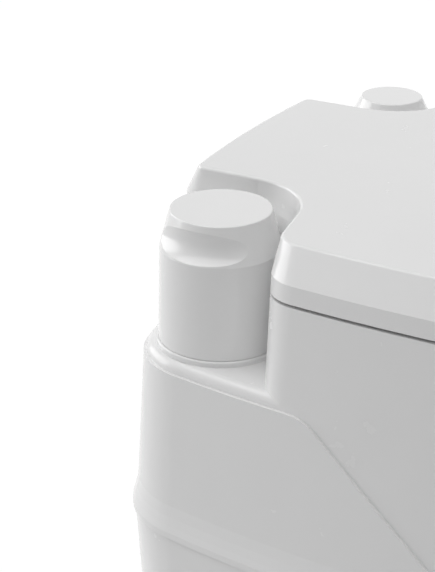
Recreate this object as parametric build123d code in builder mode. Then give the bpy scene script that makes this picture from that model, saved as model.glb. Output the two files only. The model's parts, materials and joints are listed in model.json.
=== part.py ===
"""Portable chemical toilet: a flush water unit with seat and lid, clipped onto a waste holding tank.

Millimetres, +X to the right as the user faces the front, +Y to the rear, +Z up.
The origin is on the floor, below the middle of the toilet.
"""
import os
from math import cos, radians, sin, sqrt, tan

from build123d import *

os.makedirs("parts", exist_ok=True)

# Overall sizes
WIDTH = 383.0
DEPTH = 427.0
HEIGHT = 414.0
SEAM_Z = 208.0          # where the flush unit stands on the waste tank
LEDGE_Z = 324.6         # the lowered rear corners that carry the cap and the pump
DECK_Z = 382.0          # the top deck below the seat
TANK_TOP_Z = 196.0      # floor of the valve trough in the top of the waste tank

# Shape of the outer walls
DRAFT = 3.3             # degrees, the walls widen towards the seam
SIDE_BOW_R = 1000.0
REAR_BOW_R = 800.0
FRONT_BOW_R = 700.0
HULL_CORNER_R = 44.0
FRONT_CORNER_R = 58.0
FLARE = 3.0             # how far the flange stands proud at the seam
FLARE_TOP_Z = 240.0
FLANGE_LIP = 4.0
STEP = 1.8              # the outward step below the ledge, which sweeps down the sides
STEP_Z = 317.5
STEP_TURN_Y = 62.0      # where the step line leaves the level and turns down
STEP_SLOPE = 41.0       # degrees
LEDGE_EDGE_R = 6.0
WALL = 3.5
TANK_WALL = 4.0

# The two rear corners
CORNER_X = 125.2        # axes of the filler cap and of the pump
CORNER_Y = 145.0
POCKET_R = 42.6         # pocket round the cap, at the ledge
POCKET_DRAFT = 1.5      # degrees
POCKET_TURN = 80.0      # degrees of arc before the pocket wall runs out to the side
COLUMN_R = 23.0         # rounded corner between pocket and side
NOSE_R = 7.0            # corner between pocket and rear

# Filler cap and its collar
CAP_BASE_R = 38.4
CAP_SHOULDER_R = 37.1
CAP_SHOULDER_Z = 387.6
CAP_TOP_R = 30.7
CAP_TOP_Z = 411.0
CAP_WALL = 2.5
COLLAR_R = 39.8
COLLAR_H = 3.5
NECK_R = 29.0
NECK_BORE_R = 25.0
NECK_TOP_Z = 346.0
NECK_BOTTOM_Z = 306.0
SEAT_SEAL = 0.3         # running gap under seals and seated caps
SCOOP_SHIFT = 15.0      # finger scoops are turned about an axis this far off the cap's own
SCOOP_DEEP_R = 29.4     # deepest place, from the cap's own axis
SCOOP_DEEP_Z = 398.5
SCOOP_TOP_Z = 407.0
SCOOP_LOW_Z = 388.2

# Pump
TOWER_R = 32.5
TOWER_TOP_Z = 371.0
TOWER_WALL = 2.5
KNOB_R = 28.6
KNOB_WAIST_R = 27.5
KNOB_CONE_Z = 397.5
KNOB_TOP_R = 21.5
KNOB_TOP_Z = 409.5
KNOB_GAP = 1.5
KNOB_WALL = 2.5
BARREL_R = 17.5
BARREL_BORE_R = 15.5
BARREL_BOTTOM_Z = 232.0
BARREL_TOP_Z = 358.0
ROD_R = 4.0
PISTON_H = 10.0
PISTON_Z = 238.0
OUTLET_Z = 308.0
OUTLET_R = 5.0
OUTLET_BORE_R = 3.0

FOOT_BORE_R = 7.5
FOOT_SEAT_R = 3.5
FOOT_BALL_R = 5.0
FOOT_LIFT = 1.0
NOZZLE_Z = 366.0

# Lid and seat
LID_GAP = 2.0
SKIRT_H = 11.0
SKIRT_LEAN = 0.6
LID_NOSE_R = 14.0
LID_TOP_NOSE_R = 6.0
LID_TOP_COLUMN_R = 18.0
BEVEL = 13.5
BEVEL_POCKET = 2.8
BEVEL_REAR = 11.0
LID_REAR = 5.0          # how far the lid's rear stands out over the deck
LID_WALL = 3.0
LID_EDGE_R = 2.0
SEAT_GAP = 4.0
SEAT_Z = 386.0
SEAT_H = 17.0
SEAT_HOLE_X = 112.0
SEAT_HOLE_Y = 136.0
SEAT_CENTRE_Y = -22.0
SEAT_REAR_Y = 176.0
SEAT_WALL = 3.5
BUFFER_R = 6.0
BUFFER_X = 140.0
BUFFER_REAR_Y = 38.0
BUFFER_FRONT_Y = -98.0
BRACKET_FOOT_H = 2.5
BRACKET_SCREW_Y = 162.0
SCREW_R = 1.7
SCREW_HEAD_R = 3.2
SCREW_LENGTH = 12.0
LID_OPEN_NOTCH_Z = 398.0
HINGE_Y = 189.0
HINGE_Z = 389.5
PIN_R = 3.5
KNUCKLE_R = 6.0
KNUCKLE_W = 8.0
KNUCKLE_X = 54.0
PIN_FIT = 0.1
SIDE_PLAY = 0.5
TROUGH_Y = 176.0
TROUGH_DEPTH = 11.0

# Bowl
BOWL_Y = -26.0
BOWL_X_R = 120.0
BOWL_Y_R = 146.0
BOWL_WALL = 3.0
BOWL_RIM = 8.0
BOWL_RIM_H = 1.6
OUTLET_TUBE_R = 52.0
OUTLET_TUBE_BOTTOM_Z = 209.0
OUTLET_Y = -30.0
FLOOR_Z = 210.0
FLOOR_H = 3.0
FLOOR_FIT = 0.3

# Valve in the top of the waste tank
TROUGH_HALF_X = 78.0
TROUGH_REAR_Y = 62.0
FRAME_HALF_X = 72.0
FRAME_FRONT_Y = -108.0
FRAME_REAR_Y = 50.0
FRAME_TOP_Z = 206.2
FRAME_PORT_R = 47.0
BLADE_HALF_X = 60.0
BLADE_REAR_Y = 30.0
BLADE_LENGTH = 128.0
BLADE_H = 3.6
BLADE_Z = 199.8
BLADE_FIT = 0.4
STEM_HALF_X = 24.0
HANDLE_HALF_X = 46.0
HANDLE_FRONT_Y = -208.5
HANDLE_DEPTH = 18.0
HANDLE_Z = 197.0
HANDLE_H = 10.0
LIP_SEAL_R = 51.5
LIP_SEAL_W = 3.6

# Waste tank
TANK_INSET = 1.8        # the tank stands in under the flange
TANK_FOOT_H = 3.0
TANK_FOOT_R = 20.0
TANK_EDGE_R = 10.0
FOOT_X = 126.0
FOOT_Y = 146.0
FRAME_SCREW_X = 66.0
FRAME_SCREW_Y = 40.0
GRIP_HALF_X = 58.0
GRIP_LOW_Z = 136.0
GRIP_HIGH_Z = 170.0
GRIP_BACK_Y = -178.0

# Pour-out spout
SPOUT_X = 106.0
SPOUT_Y = 164.0
BAY_LOW_X = -78.0
BAY_HIGH_X = 137.0
BAY_FRONT_Y = 130.0
BAY_FLOOR_Z = 148.0
NECK_TUBE_R = 22.0
NECK_TUBE_BORE_R = 18.0
NECK_TUBE_H = 22.0
ELBOW_WALL = 3.5
ELBOW_TOP_Z = 204.0
SPOUT_Z = 180.0
SPOUT_R = 18.5
SPOUT_BORE_R = 15.5
SPOUT_LENGTH = 112.0
SPOUT_CAP_R = 22.5
SPOUT_CAP_L = 24.0
SPOUT_CAP_WALL = 3.0

RING_Z = 162.0          # ring that seals the spout on its neck
RING_R = 1.15
RING_PLAY = 0.35
WASHER_H = 2.0

# Vent
VENT_X = -112.0
VENT_Y = 158.0
VENT_POCKET_R = 18.0
VENT_POCKET_Z = 188.0
VENT_FLANGE_R = 13.0
VENT_FLANGE_H = 2.0
VENT_TUBE_R = 8.5
VENT_BORE_R = 6.0
VENT_TUBE_Z = 178.0
VENT_HEAD_R = 9.5
VENT_HEAD_H = 3.5
VENT_HEAD_Z = 202.0
VENT_TRAVEL = 6.0

# Level windows and float
GAUGE_X = -112.0
GAUGE_HALF_X = 16.0
GAUGE_LOW_Z = 118.0
GAUGE_HIGH_Z = 152.0
SIGHT_X = 62.0
SIGHT_HALF_X = 7.0
SIGHT_LOW_Z = 246.0
SIGHT_HIGH_Z = 332.0
WINDOW_FIT = 0.2
WINDOW_SET_IN = 0.8
FLOAT_PIN_Y = -178.0
FLOAT_PIN_Z = 135.0
FLOAT_PIN_R = 2.0
FLOAT_ARM = 58.0
FLOAT_DROP = 35.0       # degrees below level when the tank is empty
FLOAT_R = 12.0

FLOAT_LUG_X = GAUGE_HALF_X + 4

# Side latches
LATCH_Y = -40.0
LATCH_HALF_Y = 21.0
LATCH_POCKET_HALF_Y = 24.0
LATCH_POCKET_X = 178.5
LATCH_PIN_X = 183.2
LATCH_PIN_Z = 166.0
LATCH_PIN_R = 2.2
LATCH_KNUCKLE_R = 4.4
LATCH_POCKET_LOW_Z = 152.0
LATCH_POCKET_HIGH_Z = 228.0
LATCH_LUG_X = 184.0
LATCH_LUG_H = 5.5
LATCH_PLATE = 3.4
LATCH_OUT_X = 187.6
LATCH_NOSE_GAP = 0.5
LATCH_NOSE_H = 6.0
FRAME_SCREW_SPOTS = [(x, y) for x in (-FRAME_SCREW_X, FRAME_SCREW_X) for y in (FRAME_FRONT_Y + 12, FRAME_SCREW_Y)]
BUFFER_SPOTS = [(x, y) for x in (-BUFFER_X, BUFFER_X) for y in (BUFFER_FRONT_Y, BUFFER_REAR_Y)]
SCREW_SPOTS = [(side * (KNUCKLE_X - KNUCKLE_W / 2 + dx), BRACKET_SCREW_Y) for side in (-1, 1) for dx in (-5, 5)]


def widen(z):
    """How far the drafted wall stands out at height z, against the deck."""
    return (DECK_Z - z) * tan(radians(DRAFT))


HALF_X = WIDTH / 2 - FLARE - STEP - widen(SEAM_Z + FLANGE_LIP)
HALF_Y = DEPTH / 2 - FLARE - STEP - widen(SEAM_Z + FLANGE_LIP)


def corner_point(half_x, half_y, bow_r):
    """Where the bowed side meets the bowed rear or front, before the corner is rounded."""
    x = half_x
    y = half_y
    for _ in range(12):
        x = half_x - SIDE_BOW_R + sqrt(SIDE_BOW_R**2 - y**2)
        y = half_y - bow_r + sqrt(bow_r**2 - x**2)
    return x, y


def side_x(half_x, y):
    """X of the bowed side at y."""
    return half_x - SIDE_BOW_R + sqrt(SIDE_BOW_R**2 - y**2)


def rear_y(half_y, x):
    """Y of the bowed rear at x."""
    return half_y - REAR_BOW_R + sqrt(REAR_BOW_R**2 - x**2)


def hull_outline(grow, corner_r=HULL_CORNER_R, front_r=FRONT_CORNER_R):
    """The plain outline: four bowed sides and rounded corners, grow outside the deck's size."""
    half_x = HALF_X + grow
    half_y = HALF_Y + grow
    rear = corner_point(half_x, half_y, REAR_BOW_R)
    front = corner_point(half_x, half_y, FRONT_BOW_R)
    with BuildSketch() as sk:
        with BuildLine():
            ThreePointArc((-rear[0], rear[1]), (0, half_y), (rear[0], rear[1]))
            ThreePointArc((rear[0], rear[1]), (half_x, 0), (front[0], -front[1]))
            ThreePointArc((front[0], -front[1]), (0, -half_y), (-front[0], -front[1]))
            ThreePointArc((-front[0], -front[1]), (-half_x, 0), (-rear[0], rear[1]))
        make_face()
        fillet(sk.vertices().filter_by(lambda v: v.Y > 0), corner_r + grow)
        fillet(sk.vertices().filter_by(lambda v: v.Y < -half_y + 40 and abs(v.X) > half_x - 40), front_r)
    return sk.sketch


def pocketed_outline(grow, rear, pocket_r, column_r=COLUMN_R, front_r=FRONT_CORNER_R, nose_r=NOSE_R):
    """The outline with a round pocket at both rear corners.

    grow is measured from the deck's size at the sides and front, rear at the rear.
    """
    half_x = HALF_X + grow
    half_y = HALF_Y + grow
    front = corner_point(half_x, half_y, FRONT_BOW_R)
    wall_x = CORNER_X - pocket_r
    wall_y = rear_y(HALF_Y + rear, wall_x)
    turn = radians(180 + POCKET_TURN)
    mid = radians(180 + POCKET_TURN / 2)
    arc_mid = (CORNER_X + pocket_r * cos(mid), CORNER_Y + pocket_r * sin(mid))
    arc_end = (CORNER_X + pocket_r * cos(turn), CORNER_Y + pocket_r * sin(turn))
    shoulder_x = half_x
    shoulder_y = arc_end[1]
    for _ in range(6):
        shoulder_y = arc_end[1] + (shoulder_x - arc_end[0]) * cos(turn) / sin(turn) * -1
        shoulder_x = side_x(half_x, shoulder_y)
    with BuildSketch() as sk:
        with BuildLine() as ln:
            ThreePointArc((0, HALF_Y + rear), (wall_x / 2, rear_y(HALF_Y + rear, wall_x / 2)), (wall_x, wall_y))
            Line((wall_x, wall_y), (wall_x, CORNER_Y))
            ThreePointArc((wall_x, CORNER_Y), arc_mid, arc_end)
            Line(arc_end, (shoulder_x, shoulder_y))
            ThreePointArc((shoulder_x, shoulder_y), (side_x(half_x, 0), 0), (front[0], -front[1]))
            ThreePointArc(
                (front[0], -front[1]), (front[0] / 2, -half_y + FRONT_BOW_R - sqrt(FRONT_BOW_R**2 - front[0] ** 2 / 4)),
                (0, -half_y),
            )
            mirror(about=Plane.YZ)
        make_face()
        fillet(sk.vertices().filter_by(lambda v: abs(abs(v.X) - shoulder_x) < 0.5 and v.Y > 0), column_r)
        fillet(sk.vertices().filter_by(lambda v: abs(abs(v.X) - front[0]) < 0.5 and v.Y < 0), front_r)
        fillet(sk.vertices().filter_by(lambda v: abs(abs(v.X) - wall_x) < 0.01 and v.Y > wall_y - 0.5), nose_r)
    return sk.sketch


def hull_block(inset, low_z, high_z, corner_r=HULL_CORNER_R):
    """The drafted body between two heights, inset from its outer wall."""
    with BuildPart() as body:
        for z in (low_z, high_z):
            with BuildSketch(Plane.XY.offset(z)):
                add(hull_outline(widen(z) - inset, corner_r))
        loft(ruled=True)
    return body.part


def pocket_r(z):
    """Radius of the rear corner pockets at height z."""
    return POCKET_R + (z - LEDGE_Z) * tan(radians(POCKET_DRAFT))


def pocket_prism(inset, low_z, high_z):
    """A block wider than the body, but with both rear pockets, so that it cuts only those."""
    with BuildPart() as prism:
        for z in (low_z, high_z):
            with BuildSketch(Plane.XY.offset(z)):
                add(pocket_face(pocket_r(z) + inset, rear_y(HALF_Y, CORNER_X - POCKET_R) - inset))
        loft(ruled=True)
    return prism.part


def pocket_face(radius, nose_y):
    """Outline of the pocket walls alone, run out past the sides and the rear of the body."""
    wall_x = CORNER_X - radius
    turn = radians(180 + POCKET_TURN)
    mid = radians(180 + POCKET_TURN / 2)
    arc_mid = (CORNER_X + radius * cos(mid), CORNER_Y + radius * sin(mid))
    arc_end = (CORNER_X + radius * cos(turn), CORNER_Y + radius * sin(turn))
    out_x = WIDTH
    out_y = arc_end[1] - (out_x - arc_end[0]) / tan(turn)
    with BuildSketch() as sk:
        with BuildLine():
            Line((0, DEPTH), (wall_x, DEPTH))
            Line((wall_x, DEPTH), (wall_x, CORNER_Y))
            ThreePointArc((wall_x, CORNER_Y), arc_mid, arc_end)
            Line(arc_end, (out_x, out_y))
            Line((out_x, out_y), (out_x, -DEPTH))
            Line((out_x, -DEPTH), (0, -DEPTH))
            mirror(about=Plane.YZ)
        make_face()
    return sk.sketch


def flush_form(inset, top_z, ledge_z):
    """The flush tank's form, inset from its outer wall: a lower block and the column between the pockets."""
    whole = hull_block(inset, SEAM_Z, DECK_Z)
    with BuildPart() as lower:
        add(whole)
        split(bisect_by=Plane.XY.offset(ledge_z), keep=Keep.BOTTOM)
        if inset == 0:
            fillet(lower.faces().sort_by(Axis.Z)[-1].edges(), LEDGE_EDGE_R)
    with BuildPart() as column:
        add(whole)
        add(pocket_prism(inset, SEAM_Z + 60, DECK_Z + 20), mode=Mode.INTERSECT)
        corner = column.edges().filter_by(lambda e: abs(e.center().X) > 150 and 70 < e.center().Y < 130
                                          and e.bounding_box().size.Z > 50)
        fillet(corner, COLUMN_R - inset)
        nose = column.edges().filter_by(lambda e: abs(e.center().X) < 100 and e.center().Y > 170
                                        and e.bounding_box().size.Z > 50)
        fillet(nose, NOSE_R)
        if top_z < DECK_Z:
            split(bisect_by=Plane.XY.offset(top_z), keep=Keep.BOTTOM)
    with BuildPart() as form:
        add(lower.part)
        add(column.part)
    return form.part


def flare_ring(low_grow, high_grow, inner):
    """The flange that flares at the seam, full outline."""
    heights = [FLARE_TOP_Z - (FLARE_TOP_Z - SEAM_Z - FLANGE_LIP) * t for t in (0.0, 0.35, 0.65, 0.85, 1.0)]
    with BuildPart() as ring:
        for z in heights:
            t = (FLARE_TOP_Z - z) / (FLARE_TOP_Z - SEAM_Z - FLANGE_LIP)
            with BuildSketch(Plane.XY.offset(z)):
                add(hull_outline(widen(z) + high_grow + (low_grow - high_grow) * t**2))
        loft(ruled=True)
        with BuildSketch(Plane.XY.offset(SEAM_Z)):
            add(hull_outline(widen(SEAM_Z + FLANGE_LIP) + low_grow))
        extrude(amount=FLANGE_LIP)
    return ring.part


def step_region():
    """Everything below the step line: level at the rear, swept down towards the front."""
    turn_r = 26.0
    slope = radians(STEP_SLOPE)
    back = turn_r * tan(slope / 2)
    run = (STEP_Z - SEAM_Z) / sin(slope) + 20
    with BuildPart() as region:
        with BuildSketch(Plane.YZ):
            with BuildLine():
                level_end = (STEP_TURN_Y + back, STEP_Z)
                slope_start = (STEP_TURN_Y - back * cos(slope), STEP_Z - back * sin(slope))
                slope_end = (STEP_TURN_Y - run * cos(slope), STEP_Z - run * sin(slope))
                Line((DEPTH, STEP_Z), level_end)
                TangentArc(level_end, slope_start, tangent=(-1, 0))
                Line(slope_start, slope_end)
                Line(slope_end, (slope_end[0], SEAM_Z - 30))
                Line((slope_end[0], SEAM_Z - 30), (DEPTH, SEAM_Z - 30))
                Line((DEPTH, SEAM_Z - 30), (DEPTH, STEP_Z))
            make_face()
        extrude(amount=WIDTH, both=True)
    return region.part


def tank_grow(z):
    """How far the waste tank's wall stands out at height z, against the deck's size."""
    return widen(SEAM_Z) + STEP + FLARE - TANK_INSET - (SEAM_Z - z) * tan(radians(DRAFT))


def tank_outline(z, inset=0.0):
    """The waste tank's outline, which narrows towards the floor."""
    return hull_outline(tank_grow(z) - inset)


def tank_front_y(x, z):
    """Y of the waste tank's bowed front at x and z."""
    return -HALF_Y - tank_grow(z) + FRONT_BOW_R - sqrt(FRONT_BOW_R**2 - x**2)


def tank_block(inset, low_z, high_z):
    """The waste tank's body between two heights, inset from its outer wall."""
    with BuildPart() as body:
        for z in (low_z, high_z):
            with BuildSketch(Plane.XY.offset(z)):
                add(tank_outline(z, inset))
        loft(ruled=True)
    return body.part


def block(low, high):
    """A plain block between two corners."""
    with BuildPart() as body:
        with BuildSketch(Plane.XY.offset(low[2])):
            with Locations(((low[0] + high[0]) / 2, (low[1] + high[1]) / 2)):
                Rectangle(high[0] - low[0], high[1] - low[1])
        extrude(amount=high[2] - low[2])
    return body.part


def tube(radius, bore, low_z, high_z, x=0.0, y=0.0):
    """An upright tube, or a disc when bore is 0."""
    with BuildPart() as body:
        with BuildSketch(Plane.XY.offset(low_z)):
            with Locations((x, y)):
                Circle(radius)
                if bore > 0:
                    Circle(bore, mode=Mode.SUBTRACT)
        extrude(amount=high_z - low_z)
    return body.part


def save(piece, name):
    """Name a finished piece and write it."""
    piece.label = name
    export_step(piece, f"parts/{name}.step")


def latch_pockets(grow, low_z, high_z, inner_x):
    """The blocks cut from both sides for the latches, grown to leave a wall round them."""
    half_y = LATCH_POCKET_HALF_Y + grow
    with BuildPart() as both_sides:
        add(block((inner_x - grow, LATCH_Y - half_y, low_z - grow), (WIDTH, LATCH_Y + half_y, high_z + grow)))
        mirror(about=Plane.YZ)
    return both_sides.part


def sight_block(x, half_x, low_z, high_z, play):
    """The block that a level window fills, less play on each side."""
    return block((x - half_x + play, -DEPTH, low_z + play), (x + half_x - play, -DEPTH / 4, high_z - play))


# Flush tank shell
outer_form = flush_form(0, DECK_Z, LEDGE_Z)
inner_form = flush_form(WALL, DECK_Z - WALL, LEDGE_Z - WALL)
trough_rear = block((-CORNER_X + POCKET_R - 8, TROUGH_Y, DECK_Z - TROUGH_DEPTH),
                    (CORNER_X - POCKET_R + 8, DEPTH, DECK_Z + 1))
trough_wall = block((-CORNER_X, TROUGH_Y - WALL, DECK_Z - TROUGH_DEPTH - WALL), (CORNER_X, DEPTH, DECK_Z + 1))

with BuildPart() as stepped_skin:
    add(hull_block(-STEP, SEAM_Z, LEDGE_Z + 5))
    add(flare_ring(STEP + FLARE, STEP - 0.6, 0))
    add(step_region(), mode=Mode.INTERSECT)

with BuildPart() as cavity:
    add(inner_form)
    add(trough_wall, mode=Mode.SUBTRACT)
    add(latch_pockets(WALL, SEAM_Z, LATCH_POCKET_HIGH_Z, LATCH_POCKET_X), mode=Mode.SUBTRACT)

with BuildPart() as flush_tank_shell:
    add(outer_form)
    add(flare_ring(STEP + FLARE, -0.6, 0))
    add(stepped_skin.part)
    add(cavity.part, mode=Mode.SUBTRACT)
    add(trough_rear, mode=Mode.SUBTRACT)
    # opening for the bowl
    with BuildSketch(Plane.XY.offset(DECK_Z - 2 * WALL)):
        with Locations((0, BOWL_Y)):
            Ellipse(BOWL_X_R, BOWL_Y_R)
    extrude(amount=4 * WALL, mode=Mode.SUBTRACT)
    # holes for the filler neck and the pump barrel in the rear ledges
    with BuildSketch(Plane.XY.offset(LEDGE_Z - 2 * WALL)):
        with Locations((-CORNER_X, CORNER_Y)):
            Circle(NECK_R + FLOOR_FIT)
        with Locations((CORNER_X, CORNER_Y)):
            Circle(BARREL_R + FLOOR_FIT)
    extrude(amount=4 * WALL, mode=Mode.SUBTRACT)
    # pockets for the latches, with a lug left at the foot of each
    add(latch_pockets(0, SEAM_Z + LATCH_LUG_H, LATCH_POCKET_HIGH_Z, LATCH_POCKET_X), mode=Mode.SUBTRACT)
    add(latch_pockets(0, SEAM_Z, SEAM_Z + LATCH_LUG_H, LATCH_LUG_X), mode=Mode.SUBTRACT)
    with BuildSketch(Plane.XY.offset(DECK_Z - 2 * WALL)):
        with Locations(*SCREW_SPOTS):
            Circle(SCREW_R)
    extrude(amount=4 * WALL, mode=Mode.SUBTRACT)
    # slot for the water level window
    add(sight_block(SIGHT_X, SIGHT_HALF_X, SIGHT_LOW_Z, SIGHT_HIGH_Z, 0), mode=Mode.SUBTRACT)
save(flush_tank_shell.part, "flush_tank_shell")

with BuildPart() as water_level_window:
    add(hull_block(WINDOW_SET_IN, SEAM_Z, DECK_Z))
    add(hull_block(WALL, SEAM_Z, DECK_Z), mode=Mode.SUBTRACT)
    add(sight_block(SIGHT_X, SIGHT_HALF_X, SIGHT_LOW_Z, SIGHT_HIGH_Z, WINDOW_FIT), mode=Mode.INTERSECT)
save(water_level_window.part, "water_level_window")

# Floor of the flush tank
with BuildPart() as flush_tank_floor:
    add(hull_block(WALL + FLOOR_FIT, FLOOR_Z, FLOOR_Z + FLOOR_H))
    add(latch_pockets(WALL + FLOOR_FIT, SEAM_Z, LATCH_POCKET_HIGH_Z, LATCH_POCKET_X), mode=Mode.SUBTRACT)
    add(tube(OUTLET_TUBE_R + FLOOR_FIT, 0, FLOOR_Z - 1, FLOOR_Z + FLOOR_H + 1, 0, OUTLET_Y), mode=Mode.SUBTRACT)
save(flush_tank_floor.part, "flush_tank_floor")


def bowl_form(inset, extra_top, extra_bottom):
    """The bowl's form: ovals that narrow from the rim to the round outlet."""
    depth = DECK_Z - OUTLET_TUBE_BOTTOM_Z
    low = OUTLET_TUBE_R - inset
    with BuildPart() as form:
        for share in (0.0, 0.25, 0.5, 0.72, 0.86):
            narrow = share**2 / 0.86**2
            wide_x = (BOWL_X_R - FLOOR_FIT - inset) * (1 - narrow) + (low + 1.5) * narrow
            wide_y = (BOWL_Y_R - FLOOR_FIT - inset) * (1 - narrow) + (low + 1.6) * narrow
            shift = BOWL_Y * (1 - narrow) + OUTLET_Y * narrow
            with BuildSketch(Plane.XY.offset(DECK_Z - share * depth)):
                with Locations((0, shift)):
                    Ellipse(wide_x, wide_y)
        loft()
        with BuildSketch(Plane.XY.offset(OUTLET_TUBE_BOTTOM_Z - extra_bottom)):
            with Locations((0, OUTLET_Y)):
                Circle(low)
        extrude(amount=0.14 * depth + extra_bottom + 3)
        if extra_top > 0:
            with BuildSketch(Plane.XY.offset(DECK_Z)):
                with Locations((0, BOWL_Y)):
                    Ellipse(BOWL_X_R - FLOOR_FIT - inset, BOWL_Y_R - FLOOR_FIT - inset)
            extrude(amount=extra_top)
    return form.part


with BuildPart() as bowl:
    add(bowl_form(0, 0, 0))
    with BuildSketch(Plane.XY.offset(DECK_Z)):
        with Locations((0, BOWL_Y)):
            Ellipse(BOWL_X_R + BOWL_RIM, BOWL_Y_R + BOWL_RIM)
    extrude(amount=BOWL_RIM_H)
    add(bowl_form(BOWL_WALL, BOWL_RIM_H + 1, 1), mode=Mode.SUBTRACT)
    with BuildSketch(Plane(origin=(0, BOWL_Y, NOZZLE_Z), z_dir=(0, 1, 0))):
        Circle(OUTLET_R + 0.05)
    extrude(amount=BOWL_Y_R + 10, mode=Mode.SUBTRACT)
save(bowl.part, "bowl")

bowl_outlet_seal = tube(OUTLET_TUBE_R + 8, FRAME_PORT_R + 1, FRAME_TOP_Z + SEAT_SEAL, OUTLET_TUBE_BOTTOM_Z, 0, OUTLET_Y)
save(bowl_outlet_seal, "bowl_outlet_seal")

# Filler neck, cap and seal on the left rear ledge
with BuildPart() as filler_neck:
    add(tube(NECK_R, NECK_BORE_R, NECK_BOTTOM_Z, NECK_TOP_Z, -CORNER_X, CORNER_Y))
    add(tube(COLLAR_R, NECK_BORE_R, LEDGE_Z, LEDGE_Z + COLLAR_H, -CORNER_X, CORNER_Y))
    fillet(filler_neck.edges().filter_by(GeomType.CIRCLE).filter_by(
        lambda e: e.radius > COLLAR_R - 0.1).sort_by(Axis.Z)[-1], 1.2)
save(filler_neck.part, "filler_neck")

CAP_Z = LEDGE_Z + COLLAR_H + SEAT_SEAL


def cap_profile(inset, low_z, axis):
    """Half section of the cap's outside, or of its inside when inset."""
    lean = (CAP_BASE_R - CAP_SHOULDER_R) / (CAP_SHOULDER_Z - CAP_Z)
    with BuildSketch(axis) as sk:
        with BuildLine():
            Polyline(
                (0, low_z),
                (CAP_BASE_R - inset - lean * (low_z - CAP_Z), low_z),
                (CAP_SHOULDER_R - inset, CAP_SHOULDER_Z - inset),
                (CAP_TOP_R - inset, CAP_TOP_Z - inset),
                (0, CAP_TOP_Z - inset),
                close=True,
            )
        make_face()
    return sk.sketch


cap_axis = Plane(origin=(-CORNER_X, CORNER_Y, 0), x_dir=(1, 0, 0), z_dir=(0, -1, 0))


def scoop(side):
    """A finger scoop in the cap's cone, turned about an axis beside the cap's own so that it fades out."""
    offset_plane = Plane(
        origin=(-CORNER_X - side * SCOOP_SHIFT, CORNER_Y, 0), x_dir=(side, 0, 0), z_dir=(0, -side, 0))
    ridge_r = CAP_SHOULDER_R - (CAP_SHOULDER_R - CAP_TOP_R) * (SCOOP_TOP_Z - CAP_SHOULDER_Z) / (
        CAP_TOP_Z - CAP_SHOULDER_Z)
    ridge = (ridge_r + SCOOP_SHIFT, SCOOP_TOP_Z)
    floor_end = (CAP_SHOULDER_R + SCOOP_SHIFT, SCOOP_LOW_Z)
    out_x = floor_end[0] + SCOOP_SHIFT
    with BuildPart() as cut:
        with BuildSketch(offset_plane):
            with BuildLine():
                ThreePointArc(floor_end, (SCOOP_DEEP_R + SCOOP_SHIFT, SCOOP_DEEP_Z), ridge)
                Line(ridge, (out_x, SCOOP_TOP_Z))
                Line((out_x, SCOOP_TOP_Z), (out_x, SCOOP_LOW_Z))
                Line((out_x, SCOOP_LOW_Z), floor_end)
            make_face()
        revolve(axis=Axis((-CORNER_X - side * SCOOP_SHIFT, CORNER_Y, 0), (0, 0, 1)))
    return cut.part


with BuildPart() as fill_cap:
    add(cap_profile(0, CAP_Z, cap_axis))
    revolve(axis=Axis((-CORNER_X, CORNER_Y, 0), (0, 0, 1)))
    for side in (-1, 1):
        add(scoop(side), mode=Mode.SUBTRACT)
    fillet(fill_cap.edges().filter_by(GeomType.CIRCLE).sort_by(Axis.Z)[-1], 0.8)
    with BuildSketch(Plane.XY.offset(CAP_Z)):
        with Locations((-CORNER_X, CORNER_Y)):
            Circle(CAP_BASE_R - CAP_WALL)
    extrude(amount=CAP_SHOULDER_Z - CAP_Z - 4, mode=Mode.SUBTRACT, taper=1)
    # the inside follows the top as far as the scoops leave room for
    with BuildSketch(Plane.XY.offset(CAP_SHOULDER_Z - 5)):
        with Locations((-CORNER_X, CORNER_Y)):
            Circle(SCOOP_DEEP_R - CAP_WALL)
    extrude(amount=CAP_TOP_Z - CAP_WALL - CAP_SHOULDER_Z + 5, mode=Mode.SUBTRACT)
save(fill_cap.part, "fill_cap")

fill_cap_seal = tube(CAP_BASE_R - CAP_WALL - 0.4, NECK_R + 0.8, CAP_Z, CAP_Z + 2.4, -CORNER_X, CORNER_Y)
save(fill_cap_seal, "fill_cap_seal")

# Pump on the right rear ledge
with BuildPart() as pump_tower:
    with BuildSketch(Plane.XY.offset(LEDGE_Z)):
        with Locations((CORNER_X, CORNER_Y)):
            Circle(TOWER_R)
    extrude(amount=TOWER_TOP_Z - LEDGE_Z, taper=1.5)
    fillet(pump_tower.edges().sort_by(Axis.Z)[-1], 1.0)
    with BuildSketch(Plane.XY.offset(LEDGE_Z)):
        with Locations((CORNER_X, CORNER_Y)):
            Circle(TOWER_R - TOWER_WALL)
    extrude(amount=TOWER_TOP_Z - LEDGE_Z - TOWER_WALL, taper=1.5, mode=Mode.SUBTRACT)
    add(tube(ROD_R + 2.5, 0, LEDGE_Z, KNOB_TOP_Z, CORNER_X, CORNER_Y), mode=Mode.SUBTRACT)
save(pump_tower.part, "pump_tower")

with BuildPart() as pump_barrel:
    add(tube(BARREL_R, BARREL_BORE_R, BARREL_BOTTOM_Z, BARREL_TOP_Z, CORNER_X, CORNER_Y))
    add(tube(BARREL_R + 7, BARREL_BORE_R, LEDGE_Z, LEDGE_Z + 2.5, CORNER_X, CORNER_Y))
    # side outlet below the ledge
    with BuildSketch(Plane(origin=(CORNER_X, CORNER_Y, OUTLET_Z), z_dir=(-1, 0, 0))):
        Circle(OUTLET_R)
    extrude(amount=BARREL_R + 14)
    with BuildSketch(Plane(origin=(CORNER_X, CORNER_Y, OUTLET_Z), z_dir=(-1, 0, 0))):
        Circle(OUTLET_BORE_R)
    extrude(amount=BARREL_R + 14, mode=Mode.SUBTRACT)
    add(tube(BARREL_BORE_R, 0, BARREL_BOTTOM_Z, BARREL_TOP_Z, CORNER_X, CORNER_Y), mode=Mode.SUBTRACT)
save(pump_barrel.part, "pump_barrel")

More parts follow.
